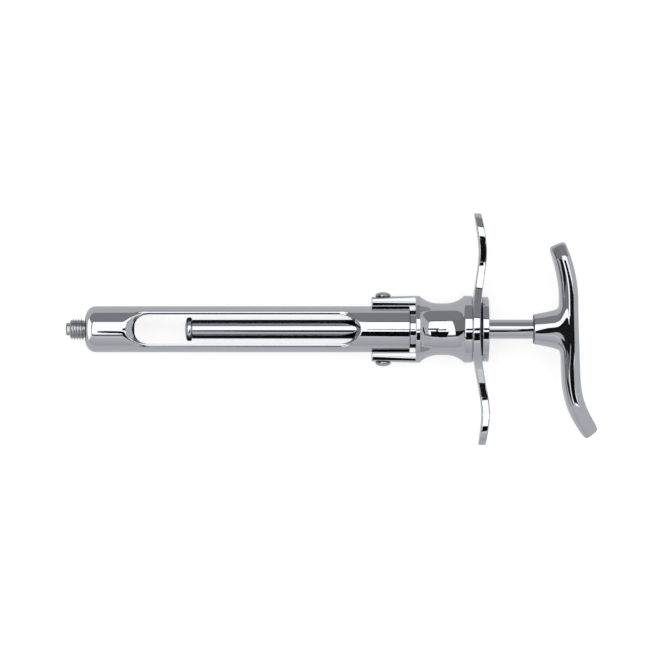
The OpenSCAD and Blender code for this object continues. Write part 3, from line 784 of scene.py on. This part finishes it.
def build_cap(s):
    """End cap, whose sleeve passes through the washer and the plate into the spool."""
    bm = bmesh.new()
    front_edge, rear_edge, bore_edge = 0.2 * MM, 0.22 * MM, 0.25 * MM
    end = cap_end(s)
    x = end - s.cap_t
    corners = [
        (x, s.sleeve_r, 0), (x, s.cap_r, front_edge), (end, s.cap_r, rear_edge),
        (end, s.cap_bore_r, bore_edge), (x, s.cap_bore_r, 0), (x, s.nut_room_r, 0),
        (s.sleeve_x, s.nut_room_r, 0), (s.sleeve_x, s.sleeve_r, 0),
    ]
    lathe(bm, fillet(corners, closed=True), segments=144, closed=True)
    return bm


def build_rod(s):
    """Rod with a stud for the tip at its front; its rear end stands in the handle."""
    bm = bmesh.new()
    front_edge, stud_edge, hidden = 0.12 * MM, 0.1 * MM, 1.4 * MM
    front, neck_x = s.tip_x + s.tip_len, neck_face(s)
    stud_x, end = front - s.stud_len, neck_x + s.handle_neck + hidden
    line = fillet([(stud_x, 0, 0), (stud_x, s.stud_r, stud_edge), (front, s.stud_r, 0),
                   (front, s.rod_r, front_edge), (neck_x, s.rod_r, 0)])
    lathe(bm, line + [(end, s.rod_r), (end, 0)], segments=96)
    return bm


def build_tip(s):
    """Domed disc on the front of the rod."""
    bm = bmesh.new()
    dome, front_rim, rear_rim = 0.6 * MM, 0.95 * MM, 0.6 * MM
    dome_r = (s.tip_r**2 + dome**2) / (2 * dome)
    full = math.asin((s.tip_r - front_rim) / dome_r)
    face = [(s.tip_x + dome_r * (1 - math.cos(a)), dome_r * math.sin(a), 0) for a in spread(0, full, 12)]
    back, hole_r = s.tip_x + s.tip_len - FIT, s.stud_r + LOOSE
    corners = face + [(s.tip_x + dome, s.tip_r, front_rim), (back, s.tip_r, rear_rim), (back, hole_r, 0),
                      (back - s.stud_len, hole_r, 0), (back - s.stud_len, 0, 0)]
    lathe(bm, fillet(corners), segments=96)
    return bm


# ---- thumb handle ----


def bar_line(s, mid):
    """Middle line of the crossbar from the lower end to the upper end as (x, y)."""
    low = (mid + s.lower_lean, -s.lower_reach)
    bend = (mid + 0.7 * MM, -14 * MM)  # where the lower arm turns back
    rise = (mid, 9 * MM)  # where the upper arm turns forward
    top = (mid - s.upper_lean, s.upper_reach)

    def beside(point, x, y):
        return point[0] + x * MM, point[1] + y * MM

    line = bezier(low, beside(low, -3.3, 4.1), beside(bend, 0.2, -6), bend, 30)
    line += bezier(bend, beside(bend, -0.3, 8), beside(rise, 0, -7), rise, 30, first=1)
    line += bezier(rise, beside(rise, 0, 4.2), beside(top, 2.1, -5.3), top, 30, first=1)
    return line


def bar_rings(bm, s, mid, stations):
    """Rings of the crossbar's cage at these heights."""
    line = bar_line(s, mid)
    # half section, from the middle of its front over the crown to the middle of its rear
    half = [(1, 0), (0.97, 0.511), (0.8, 0.71), (0.55, 0.861), (0.3, 0.947), (0.05, 0.9993),
            (-0.02, 1.004), (-0.2, 1.0025), (-0.38, 0.999), (-0.46, 0.988), (-0.7, 0.914),
            (-0.93, 0.785), (-1, 0.45), (-1, 0)]
    section = half + [(u, -w) for u, w in half[-2:0:-1]]
    grow = 1.035  # the subdivision draws the cage in by about this much
    end_t = 0.8  # the last ring at each end is thinner by this, which rounds the end
    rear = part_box("thumb_handle")[1][0]
    rings = []
    for n, y in enumerate(stations):
        (x0, y0), (x1, y1) = next((a, b) for a, b in zip(line, line[1:]) if y <= b[1] or b == line[-1])
        x = x0 + (x1 - x0) * (y - y0) / (y1 - y0)
        tangent = Vector((x1 - x0, y1 - y0)).normalized()
        normal = Vector((-tangent.y, tangent.x))
        # the crown stays level up to a share of the reach, and then falls to the tip's width
        reach, tip_w, level, end_w = (
            (s.upper_reach, s.upper_tip_w, 0.84, 0.8) if y > 0 else (s.lower_reach, s.lower_tip_w, 0.74, 0.85)
        )
        share = min(1, abs(y) / reach)
        fall = max(0, share - level) / (1 - level)
        half_t = (s.bar_t + (s.bar_tip_t - s.bar_t) * share**3) / 2 * grow
        half_w = (s.bar_w - (s.bar_w - tip_w) * fall) / 2
        if n in (0, len(stations) - 1):
            half_t, half_w = half_t * end_t, half_w * end_w
        # from 4.9 mm below the axis the crown gets rounder and its ridge moves forward, over 7 mm
        low = min(1, max(0, (-y - 4.9 * MM) / (7 * MM)))
        forward, crown = 0.26 * low, 0.09 * low
        ring = []
        for u, w in section:
            off = normal * ((u + forward * (1 - u * u)) * half_t)
            w *= (1 + crown * (1 - u * u)) / (1 + crown)
            ring.append(bm.verts.new((min(x + off.x, rear), y + off.y, w * half_w)))
        rings.append(ring)
    return rings


def build_handle(s):
    """Cage of the crossbar with the neck grown out of its front; a subdivision modifier rounds it."""
    bm = bmesh.new()
    neck_x = neck_face(s)
    mid = neck_x + s.handle_neck + s.bar_t / 2
    neck_rows = [y * MM for y in (-6, -3, 0, 3.3, 6.8)]
    below = [-s.lower_reach, -s.lower_reach + 0.4 * MM]
    below += [y * MM for y in (-27, -24.8, -23.2, -21.9, -20.2, -18.2, -15.2, -12.2, -9)]
    above = [y * MM for y in (9.4, 12, 14.8, 17.4, 18.9, 19.75, 20.6)]
    above += [s.upper_reach - 1.7 * MM, s.upper_reach - 0.6 * MM, s.upper_reach]
    rings = bar_rings(bm, s, mid, below + neck_rows + above)
    sides = len(rings[0])
    column = rings[len(below) : len(below) + len(neck_rows)]
    neck_sides = 4  # faces on either side of the middle that the neck's root takes
    end_inset = 0.55  # size of the face in each end of the crossbar
    open_sides = [j % sides for j in range(-neck_sides, neck_sides)]
    for a, b in zip(rings, rings[1:]):
        at_neck = a in column and b in column
        for j in range(sides):
            if not (at_neck and j in open_sides):
                k = (j + 1) % sides
                bm.faces.new((a[j], a[k], b[k], b[j]))
    for ring in (rings[0], rings[-1]):
        centre = sum((v.co for v in ring), Vector()) / sides
        inner = [bm.verts.new(centre + (v.co - centre) * end_inset) for v in ring]
        for j in range(sides):
            k = (j + 1) % sides
            bm.faces.new((ring[j], ring[k], inner[k], inner[j]))
        bm.faces.new(inner)
    # the edge of the neck's root, turning from +Y through +Z
    loop = [column[-1][k] for k in range(neck_sides + 1)]
    loop += [row[neck_sides] for row in column[-2::-1]]
    loop += [column[0][k % sides] for k in range(neck_sides - 1, -neck_sides - 1, -1)]
    loop += [row[-neck_sides] for row in column[1:]]
    loop += [column[-1][k] for k in range(-neck_sides + 1, 0)]
    count = len(loop)
    swell = 3 / (2 + math.cos(2 * math.pi / count))  # the subdivision draws a ring in by this much
    root_x = mid - s.bar_t / 2
    chamfer, near, hole_r = 0.3 * MM, 0.03 * MM, s.rod_r + FIT
    # rings of the neck, from its root to the hole for the rod, as (x, radius, depth share)
    rows = [
        (root_x - 0.3 * MM, 5.75 * MM, 0.9), (root_x - 1.5 * MM, s.neck_root_r + 0.15 * MM, 0.96),
        (neck_x + 2.5 * MM, s.neck_r + 0.4 * MM, 1), (neck_x + 0.6 * MM, s.neck_r + 0.08 * MM, 1),
        (neck_x + chamfer, s.neck_r, 1), (neck_x + chamfer - near, s.neck_r - near, 1),
        (neck_x + near, s.neck_r - chamfer + near, 1), (neck_x, s.neck_r - chamfer, 1),
        (neck_x, s.neck_r - chamfer - 0.2 * MM, 1), (neck_x, s.rod_r + 0.3 * MM, 1),
        (neck_x, s.rod_r + LOOSE, 1), (neck_x + 0.2 * MM, hole_r, 1), (neck_x + 0.8 * MM, hole_r, 1),
    ]
    for x, r, depth in rows:
        ring = []
        for angle in spread(0, 2 * math.pi, count)[:-1]:
            ring.append(bm.verts.new((x, r * swell * math.cos(angle), r * swell * depth * math.sin(angle))))
        for k in range(count):
            n = (k + 1) % count
            bm.faces.new((loop[k], loop[n], ring[n], ring[k]))
        loop = ring
    bm.faces.new(loop)
    return bm


# ---- materials ----


def node(tree, kind, place, sockets=None, **settings):
    """Adds one shader node; a socket is given a value, or another node's output to link."""
    made = tree.nodes.new(kind)
    made.location = place
    for key, value in settings.items():
        setattr(made, key, value)
    for key, value in (sockets or {}).items():
        if isinstance(value, bpy.types.NodeSocket):
            tree.links.new(value, made.inputs[key])
        else:
            made.inputs[key].default_value = value
    return made


def shade(base, share):
    """A share of a colour, as a socket's four values."""
    return *[c * share for c in base], 1


def metal(name, base, low, high, grain_mm, wave_mm, wave, stretch=(1, 1, 1), bore_r=0, foot_x=0):
    """Metal whose roughness wanders between low and high, and whose surface has a soft polishing wave.

    The grain is drawn coarser than real polishing marks, because those are too fine to show.
    Inside the radius bore_r the colour is darkened: painted shade in the hollow of the bore. In front of
    foot_x it is darkened too: painted shade in the corner there.
    """
    material = METALS[name] = bpy.data.materials.new(name)
    material.use_nodes = True
    tree = material.node_tree
    tree.nodes.clear()
    where = node(tree, "ShaderNodeTexCoord", (-900, 0)).outputs["Object"]
    scale = node(tree, "ShaderNodeMapping", (-700, 0), {"Vector": where, "Scale": stretch})
    grain = node(tree, "ShaderNodeTexNoise", (-450, 150), {
        "Vector": scale.outputs["Vector"], "Scale": 1 / (grain_mm * MM), "Detail": 3.0,
    }).outputs["Fac"]
    rough = node(tree, "ShaderNodeMapRange", (-200, 150),
                 {"Value": grain, "From Min": 0.3, "From Max": 0.7, "To Min": low, "To Max": high})
    tint = node(tree, "ShaderNodeMixRGB", (-200, 350),
                {"Fac": grain, "Color1": shade(base, 1), "Color2": shade(base, 0.94)})
    if bore_r:
        # painted shade: inside bore_r the colour falls to 0.08 of the metal's
        flat = node(tree, "ShaderNodeVectorMath", (-450, 600), {0: where, 1: (0, 1, 1)}, operation="MULTIPLY")
        flat = flat.outputs["Vector"]
        away = node(tree, "ShaderNodeVectorMath", (-250, 600), {0: flat}, operation="LENGTH")
        measure, limit, tone = away.outputs["Value"], bore_r, 0.08
    elif foot_x:
        # painted shade: in front of foot_x the colour falls to 0.12 of the metal's
        axes = node(tree, "ShaderNodeSeparateXYZ", (-250, 600), {"Vector": where})
        measure, limit, tone = axes.outputs["X"], foot_x, 0.12
    if bore_r or foot_x:
        inside = node(tree, "ShaderNodeMath", (-50, 600), {0: measure, 1: limit}, operation="LESS_THAN")
        tint = node(tree, "ShaderNodeMixRGB", (200, 400), {
            "Fac": inside.outputs["Value"], "Color1": tint.outputs["Color"], "Color2": shade(base, tone),
        })
    swell = node(tree, "ShaderNodeTexNoise", (-450, -200),
                 {"Vector": where, "Scale": 1 / (wave_mm * MM), "Detail": 0.0})
    bump = node(tree, "ShaderNodeBump", (200, -200),
                {"Height": swell.outputs["Fac"], "Strength": wave, "Distance": 0.4 * MM})
    shader = node(tree, "ShaderNodeBsdfPrincipled", (600, 0), {
        "Metallic": 1.0, "Base Color": tint.outputs["Color"], "Roughness": rough.outputs["Result"],
        "Normal": bump.outputs["Normal"],
    })
    node(tree, "ShaderNodeOutputMaterial", (900, 0), {"Surface": shader.outputs["BSDF"]})
    return material


def paint_foot_shade(material, low, high):
    """Painted shade round the foot of a screw head: dark up to low from the axis, unshaded from high on."""
    tree = material.node_tree
    base_socket = tree.nodes["Principled BSDF"].inputs["Base Color"]
    where = node(tree, "ShaderNodeTexCoord", (-900, 700))
    axes = node(tree, "ShaderNodeSeparateXYZ", (-700, 700), {"Vector": where.outputs["Object"]})
    away = node(tree, "ShaderNodeMath", (-500, 700), {0: axes.outputs["Y"]}, operation="ABSOLUTE")
    unshaded = node(tree, "ShaderNodeMapRange", (-300, 700),
                 {"Value": away.outputs["Value"], "From Min": low, "From Max": high})
    # painted shade: the base colour falls to near black toward the foot of the head
    foot_shade = node(tree, "ShaderNodeMixRGB", (300, 500), {
        "Fac": unshaded.outputs["Result"], "Color1": shade((1, 1, 1), 0.01),
        "Color2": base_socket.links[0].from_socket,
    })
    tree.links.new(foot_shade.outputs["Color"], base_socket)


def make_materials(look):
    """The metals, each with its roughness, and with its grain and its polishing wave in millimetres."""
    # bright plating on a hand-polished tube: nearly a mirror, with a faint wave and marks drawn along it, and
    # painted shade in its bore
    metal("barrel_chrome", look.chrome, 0.02, 0.05, 0.8, 9, 0.05, stretch=(0.2, 1, 1), bore_r=4.8 * MM)
    # the same plating on turned pieces: a shorter wave, and painted shade in the bore
    metal("body_chrome", look.chrome, 0.02, 0.05, 0.6, 6, 0.04, bore_r=7 * MM)
    # plated over a ground and buffed plate: a little softer in its reflections
    metal("plate_chrome", look.chrome, 0.03, 0.06, 0.7, 6, 0.05)
    # plated over a buffed casting: as soft, with painted shade in the corner where the neck meets the rod
    metal("handle_chrome", look.chrome, 0.03, 0.06, 0.8, 7, 0.05, foot_x=124.55 * MM)
    # drawn and plated rod: a mirror with fine marks along it
    metal("rod_chrome", look.rod_chrome, 0.02, 0.05, 0.5, 8, 0.04, stretch=(0.15, 1, 1))
    # machined, not plated: darker, with turning marks
    metal("adaptor_steel", look.adaptor, 0.1, 0.22, 0.25, 3, 0.05, stretch=(4, 1, 1))
    # turned screws, polished by hand: a satin mirror, with painted shade round the foot of the head
    screw = metal("screw_steel", look.screw, 0.06, 0.12, 0.4, 4, 0.05)
    paint_foot_shade(screw, 8.8 * MM, 9.5 * MM)
    # drawn spring wire: grey and dull
    metal("spring_steel", look.spring, 0.25, 0.4, 0.3, 2, 0.05)
    # the screws' steel as turned, for the ring nut inside the spool
    metal("nut_steel", look.screw, 0.1, 0.2, 0.3, 2, 0.05)
    # the washer's dark colour is painted shade for its narrow groove between plate and cap: dark, with hardly
    # a reflection
    metal("washer_steel", look.washer, 0.35, 0.5, 0.3, 3, 0.05)


# ---- stage ----


def card(name, corners, radiance, foot=None):
    """Flat plate of light or shade that only reflections see.

    A card with a foot is graded from that radiance at the table to its own at the top.
    """
    bm = bmesh.new()
    bm.faces.new([bm.verts.new(Vector(c) * MM) for c in corners])
    mesh = bpy.data.meshes.new(name)
    bm.to_mesh(mesh)
    bm.free()
    obj = bpy.data.objects.new(name, mesh)
    bpy.context.scene.collection.objects.link(obj)
    material = bpy.data.materials.new(name)
    material.use_nodes = True
    tree = material.node_tree
    tree.nodes.clear()
    strength = radiance
    if foot is not None:
        where = node(tree, "ShaderNodeTexCoord", (-600, 0))
        axes = node(tree, "ShaderNodeSeparateXYZ", (-400, 0), {"Vector": where.outputs["Object"]})
        top = max(c[2] for c in corners) * MM
        strength = node(tree, "ShaderNodeMapRange", (-200, 0), {
            "Value": axes.outputs["Z"], "From Max": top, "To Min": foot, "To Max": radiance,
        }).outputs["Result"]
    glow = node(tree, "ShaderNodeEmission", (0, 0), {"Color": (1, 1, 1, 1), "Strength": strength})
    node(tree, "ShaderNodeOutputMaterial", (200, 0), {"Surface": glow.outputs["Emission"]})
    mesh.materials.append(material)
    obj.visible_camera = False
    obj.visible_shadow = False
    obj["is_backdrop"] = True
    return obj


def rectangle(x0, x1, y0, y1):
    """Outline of a level rectangle."""
    return [(x0, y0), (x1, y0), (x1, y1), (x0, y1)]


def level_card(name, z, radiance, outline):
    """Card square to the camera's view at height z, with an outline of (x, y) points."""
    card(name, [(x, y, z) for x, y in outline], radiance)


def build_floor(look):
    """Pale floor just under the object: white with a faint shadow for the camera, grey in reflections."""
    low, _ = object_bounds()
    floor = card("floor", [(x, y, 0) for x, y in rectangle(-3000, 3000, -3000, 3000)], 1)
    floor.data.transform(Matrix.Translation((0, 0, low.z - FIT)))
    floor.visible_camera = True
    tree = floor.data.materials[0].node_tree
    tree.nodes.clear()
    pale = node(tree, "ShaderNodeBsdfDiffuse", (0, 100), {"Color": shade(look.floor, 1)})
    lift = node(tree, "ShaderNodeEmission", (0, -100), {"Strength": FLOOR_LIFT})
    seen = node(tree, "ShaderNodeEmission", (200, -250), {"Strength": FLOOR_SEEN})
    add = node(tree, "ShaderNodeAddShader", (200, 0), {0: pale.outputs["BSDF"], 1: lift.outputs["Emission"]})
    ray = node(tree, "ShaderNodeLightPath", (0, 300))
    pick = node(tree, "ShaderNodeMixShader", (400, 0), {
        0: ray.outputs["Is Camera Ray"], 1: seen.outputs["Emission"], 2: add.outputs["Shader"],
    })
    node(tree, "ShaderNodeOutputMaterial", (600, 0), {"Surface": pick.outputs["Shader"]})


def build_cards():
    """Light and dark cards that the polished metal reflects; all their places are in millimetres."""
    # overhead softbox with a slanted front end, and a dark frame along its upper side
    level_card("softbox", SOFTBOX_Z, WHITE, [(-930, -590), (1400, -590), (1400, 870), (-540, 870)])
    level_card("frame_up", SOFTBOX_Z - 1, DARK, rectangle(90, 1500, 865, 965))
    level_card("ceiling_front", SOFTBOX_Z, 0.25,
               [(-1950, -212), (-830, -212), (-540, 870), (-540, 1300), (-1950, 1300)])
    level_card("ceiling_dark", SOFTBOX_Z, DARK,
               [(-1950, -212), (-1950, -860), (-1000, -860), (-930, -590), (-830, -212)])
    # gap below it, then a narrow light strip
    level_card("gap_down", SOFTBOX_Z, 0.2, rectangle(-1000, 2200, -860, -590))
    level_card("strip_down", SOFTBOX_Z, 0.9, rectangle(-1600, 2200, -1040, -860))
    # the stand's dark arm, which widens towards the handle, and the camera's dark front with its boom
    level_card("stand", RIG_Z, BLACK, [
        (-70, -235), (-58, -364), (23, -490), (85, -700), (125, -800), (153, -690), (880, -690), (880, -170),
        (153, -165), (125, -205), (98, -205), (23, -200), (-20, -200), (-58, -150),
    ])
    level_card("camera_front", RIG_Z, BLACK, [
        (84, -45), (100, -60), (125, -100), (150, -60), (185, -60), (1250, -60), (1250, 60), (185, 60),
        (150, 66), (125, -20), (92, 5),
    ])
    # walls of the studio: one along each side, one behind the handle, and three panels before the nose
    card("wall_up", [(x, 1200, z) for x, z in rectangle(-2200, 2400, -200, 1700)], 0.3)
    card("wall_down", [(x, -1400, z) for x, z in rectangle(-2200, 2400, -200, 1600)], 0.7, foot=0.5)
    for name, radiance, outline in (
        ("wall_front_up", 0.25, [(-10, 0), (-230, 1300), (1200, 1300), (1200, 0)]),
        ("wall_front_dark", DARK, [(-10, 0), (-230, 1300), (-850, 1300)]),
        ("wall_front_down", 0.6, [(-10, 0), (-850, 1300), (-1400, 1300), (-1400, 0)]),
    ):
        card(name, [(-1900, y, z) for y, z in outline], radiance)
    card("wall_rear", [(2200, y, z) for y, z in rectangle(-1400, 1200, -200, 1500)], 0.62)
    # small white card that stands before the nose
    card("nose_card", [(-6.2, y, z) for y, z in rectangle(-8, 8, 4.5, 15)], WHITE)
    # grey flag beside the handle's lower end
    level_card("end_shade", 40, FLOOR_SEEN, rectangle(125, 200, -75, -26))
    # two small flags over the handle's neck, one dark and one grey
    level_card("neck_flag", 19.5, DARK, [
        (118, -3.2), (120, -3.7), (124.5, 2.4), (128, 3.6), (137.5, 3.6), (137.5, -5), (130, -4), (127, -5.5),
        (124, -8.6), (122, -10.4), (118, -11.4),
    ])
    level_card("neck_shade", 19.6, FLOOR_SEEN, [
        (134, -4), (134, -12), (118, -14), (118, -11), (122, -10), (124, -8), (127, -5), (130, -3.5),
    ])
    level_card("stand_arm", RIG_Z, BLACK, [(190, -60), (330, -60), (330, -170), (190, -170)])
    # small cards over the two wings of the finger plate
    for name, z, low, high, right, radiance in (
        ("wing_flag", 7.6, 22.8, 24.6, 112, DARK), ("wing_flag_root", 7, 17.2, 17.85, 110.5, DARK),
        ("wing_card_root", 7, 15.4, 17.15, 112, WHITE), ("wing_grey", 6.9, -15.75, -12.8, 112, 0.9),
        ("wing_flag_low", 6.9, -18.95, -15.8, 112, DARK), ("wing_card_low", 7.6, -27.6, -24.8, 112, WHITE),
    ):
        level_card(name, z, radiance, rectangle(108.3, right, low, high))


def build_world():
    """Soft grey light all round, behind which the camera sees plain white."""
    world = bpy.data.worlds.new("studio")
    world.use_nodes = True
    tree = world.node_tree
    tree.nodes.clear()
    soft = node(tree, "ShaderNodeBackground", (0, 100), {"Color": (1, 1, 1, 1), "Strength": 0.6})
    white = node(tree, "ShaderNodeBackground", (0, -100), {"Color": (1, 1, 1, 1), "Strength": 1.0})
    ray = node(tree, "ShaderNodeLightPath", (0, 300))
    pick = node(tree, "ShaderNodeMixShader", (250, 0), {
        0: ray.outputs["Is Camera Ray"], 1: soft.outputs["Background"], 2: white.outputs["Background"],
    })
    node(tree, "ShaderNodeOutputWorld", (450, 0), {"Surface": pick.outputs["Shader"]})
    bpy.context.scene.world = world


def build_camera():
    """Long lens that looks straight down on the object."""
    data = bpy.data.cameras.new("camera")
    data.lens, data.sensor_width = 200, 36
    data.clip_start, data.clip_end = 0.05, 10
    camera = bpy.data.objects.new("camera", data)
    camera.location = (68.61 * MM, -0.917 * MM, 1026.2 * MM)
    bpy.context.scene.collection.objects.link(camera)
    bpy.context.scene.camera = camera
    bpy.context.scene.view_settings.view_transform = "Standard"


# ---- operators ----


def sizes():
    """The scene's sizes of the syringe."""
    return bpy.context.scene.syringe_sizes


class SYRINGE_OT_materials(bpy.types.Operator):
    """Make the metals of the syringe and dress the frame's own nodes with them"""

    bl_idname = "syringe.materials"
    bl_label = "Metals"

    def execute(self, context):
        make_materials(context.scene.syringe_look)
        for part in frame["record"]["subparts"]:
            obj = frame["nodes"][part["node"]]
            obj.data.materials.clear()
            # the screw heads' metal has painted shade toward the arm, so the nut has one of its own
            look = "nut_steel" if part["node"] == "collar_nut" else part["material_slot"]
            obj.data.materials.append(METALS[look])
        return {"FINISHED"}


class SYRINGE_OT_barrel(bpy.types.Operator):
    """Build the windowed barrel tube"""

    bl_idname = "syringe.barrel"
    bl_label = "Barrel tube"

    def execute(self, context):
        piece("barrel", build_barrel(sizes()), "barrel", "barrel_chrome", ["barrel_tube"])
        return {"FINISHED"}


class SYRINGE_OT_adaptor(bpy.types.Operator):
    """Build the threaded needle adaptor"""

    bl_idname = "syringe.adaptor"
    bl_label = "Needle adaptor"

    def execute(self, context):
        piece("adaptor", build_adaptor(sizes()), "barrel", "adaptor_steel", ["needle_adaptor"], sharp=50)
        return {"FINISHED"}


class SYRINGE_OT_fork(bpy.types.Operator):
    """Build the spool-shaped body with its two arms"""

    bl_idname = "syringe.fork"
    bl_label = "Fork body"

    def execute(self, context):
        piece("fork", build_fork(sizes()), "grip", "body_chrome", ["fork_body"])
        return {"FINISHED"}


class SYRINGE_OT_screws(bpy.types.Operator):
    """Build the two hinge screws"""

    bl_idname = "syringe.screws"
    bl_label = "Hinge screws"

    def execute(self, context):
        for name, side in (("upper", 1), ("lower", -1)):
            piece(f"screw_{name}", build_screw(sizes(), side), "grip", "screw_steel", [f"hinge_screw_{name}"])
        return {"FINISHED"}


class SYRINGE_OT_collar(bpy.types.Operator):
    """Build the sliding collar"""

    bl_idname = "syringe.collar"
    bl_label = "Sliding collar"

    def execute(self, context):
        piece("collar", build_collar(sizes()), "collar", "body_chrome", ["lock_collar"], look="plate_chrome")
        return {"FINISHED"}


class SYRINGE_OT_spring(bpy.types.Operator):
    """Build the coil spring"""

    bl_idname = "syringe.spring"
    bl_label = "Coil spring"

    def execute(self, context):
        s = sizes()
        obj = piece("spring", build_spring(s), "grip", "spring_steel", ["lock_spring"])
        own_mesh(obj)
        return {"FINISHED"}


class SYRINGE_OT_plate(bpy.types.Operator):
    """Build the bowed finger plate"""

    bl_idname = "syringe.plate"
    bl_label = "Finger plate"

    def execute(self, context):
        piece("plate", build_plate(sizes()), "grip", "plate_chrome", ["finger_plate"])
        return {"FINISHED"}


class SYRINGE_OT_rear(bpy.types.Operator):
    """Build the washer and the end cap"""

    bl_idname = "syringe.rear"
    bl_label = "Washer and end cap"

    def execute(self, context):
        piece("washer", build_washer(sizes()), "grip", "screw_steel", ["spacer_washer"], look="washer_steel")
        piece("cap", build_cap(sizes()), "grip", "body_chrome", ["end_cap"])
        return {"FINISHED"}


class SYRINGE_OT_plunger(bpy.types.Operator):
    """Build the plunger rod and its tip"""

    bl_idname = "syringe.plunger"
    bl_label = "Plunger rod and tip"

    def execute(self, context):
        piece("rod", build_rod(sizes()), "plunger", "rod_chrome", ["plunger_rod"])
        piece("tip", build_tip(sizes()), "tip", "rod_chrome", ["plunger_tip"])
        return {"FINISHED"}


class SYRINGE_OT_handle(bpy.types.Operator):
    """Build the T-shaped thumb handle"""

    bl_idname = "syringe.handle"
    bl_label = "Thumb handle"

    def execute(self, context):
        obj = piece("handle", build_handle(sizes()), "plunger", "handle_chrome", ["thumb_handle"], sharp=180)
        round_off = obj.modifiers.new("round", "SUBSURF")
        round_off.levels = round_off.render_levels = 3
        return {"FINISHED"}


class SYRINGE_OT_stage(bpy.types.Operator):
    """Set the floor, the light and the camera"""

    bl_idname = "syringe.stage"
    bl_label = "Stage"

    def execute(self, context):
        build_floor(context.scene.syringe_look)
        build_cards()
        build_world()
        build_camera()
        return {"FINISHED"}


class SYRINGE_PT_panel(bpy.types.Panel):
    bl_label = "Cartridge syringe"
    bl_idname = "SYRINGE_PT_panel"
    bl_space_type = "VIEW_3D"
    bl_region_type = "UI"
    bl_category = "Syringe"

    def draw(self, context):
        for operator in OPERATORS:
            self.layout.operator(operator.bl_idname)
        for group in (context.scene.syringe_sizes, context.scene.syringe_look):
            box = self.layout.box()
            for key in group.__annotations__:
                box.prop(group, key)


OPERATORS = (
    SYRINGE_OT_materials,
    SYRINGE_OT_barrel,
    SYRINGE_OT_adaptor,
    SYRINGE_OT_fork,
    SYRINGE_OT_screws,
    SYRINGE_OT_collar,
    SYRINGE_OT_spring,
    SYRINGE_OT_plate,
    SYRINGE_OT_rear,
    SYRINGE_OT_plunger,
    SYRINGE_OT_handle,
    SYRINGE_OT_stage,
)
CLASSES = (SyringeSizes, SyringeLook, *OPERATORS, SYRINGE_PT_panel)


def register():
    for cls in CLASSES:
        bpy.utils.register_class(cls)
    bpy.types.Scene.syringe_sizes = bpy.props.PointerProperty(type=SyringeSizes)
    bpy.types.Scene.syringe_look = bpy.props.PointerProperty(type=SyringeLook)


def unregister():
    del bpy.types.Scene.syringe_sizes
    del bpy.types.Scene.syringe_look
    for cls in reversed(CLASSES):
        bpy.utils.unregister_class(cls)


def main():
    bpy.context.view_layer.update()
    register()
    for operator in OPERATORS:
        group, name = operator.bl_idname.split(".")
        getattr(getattr(bpy.ops, group), name)()


if __name__ == "__main__":
    main()
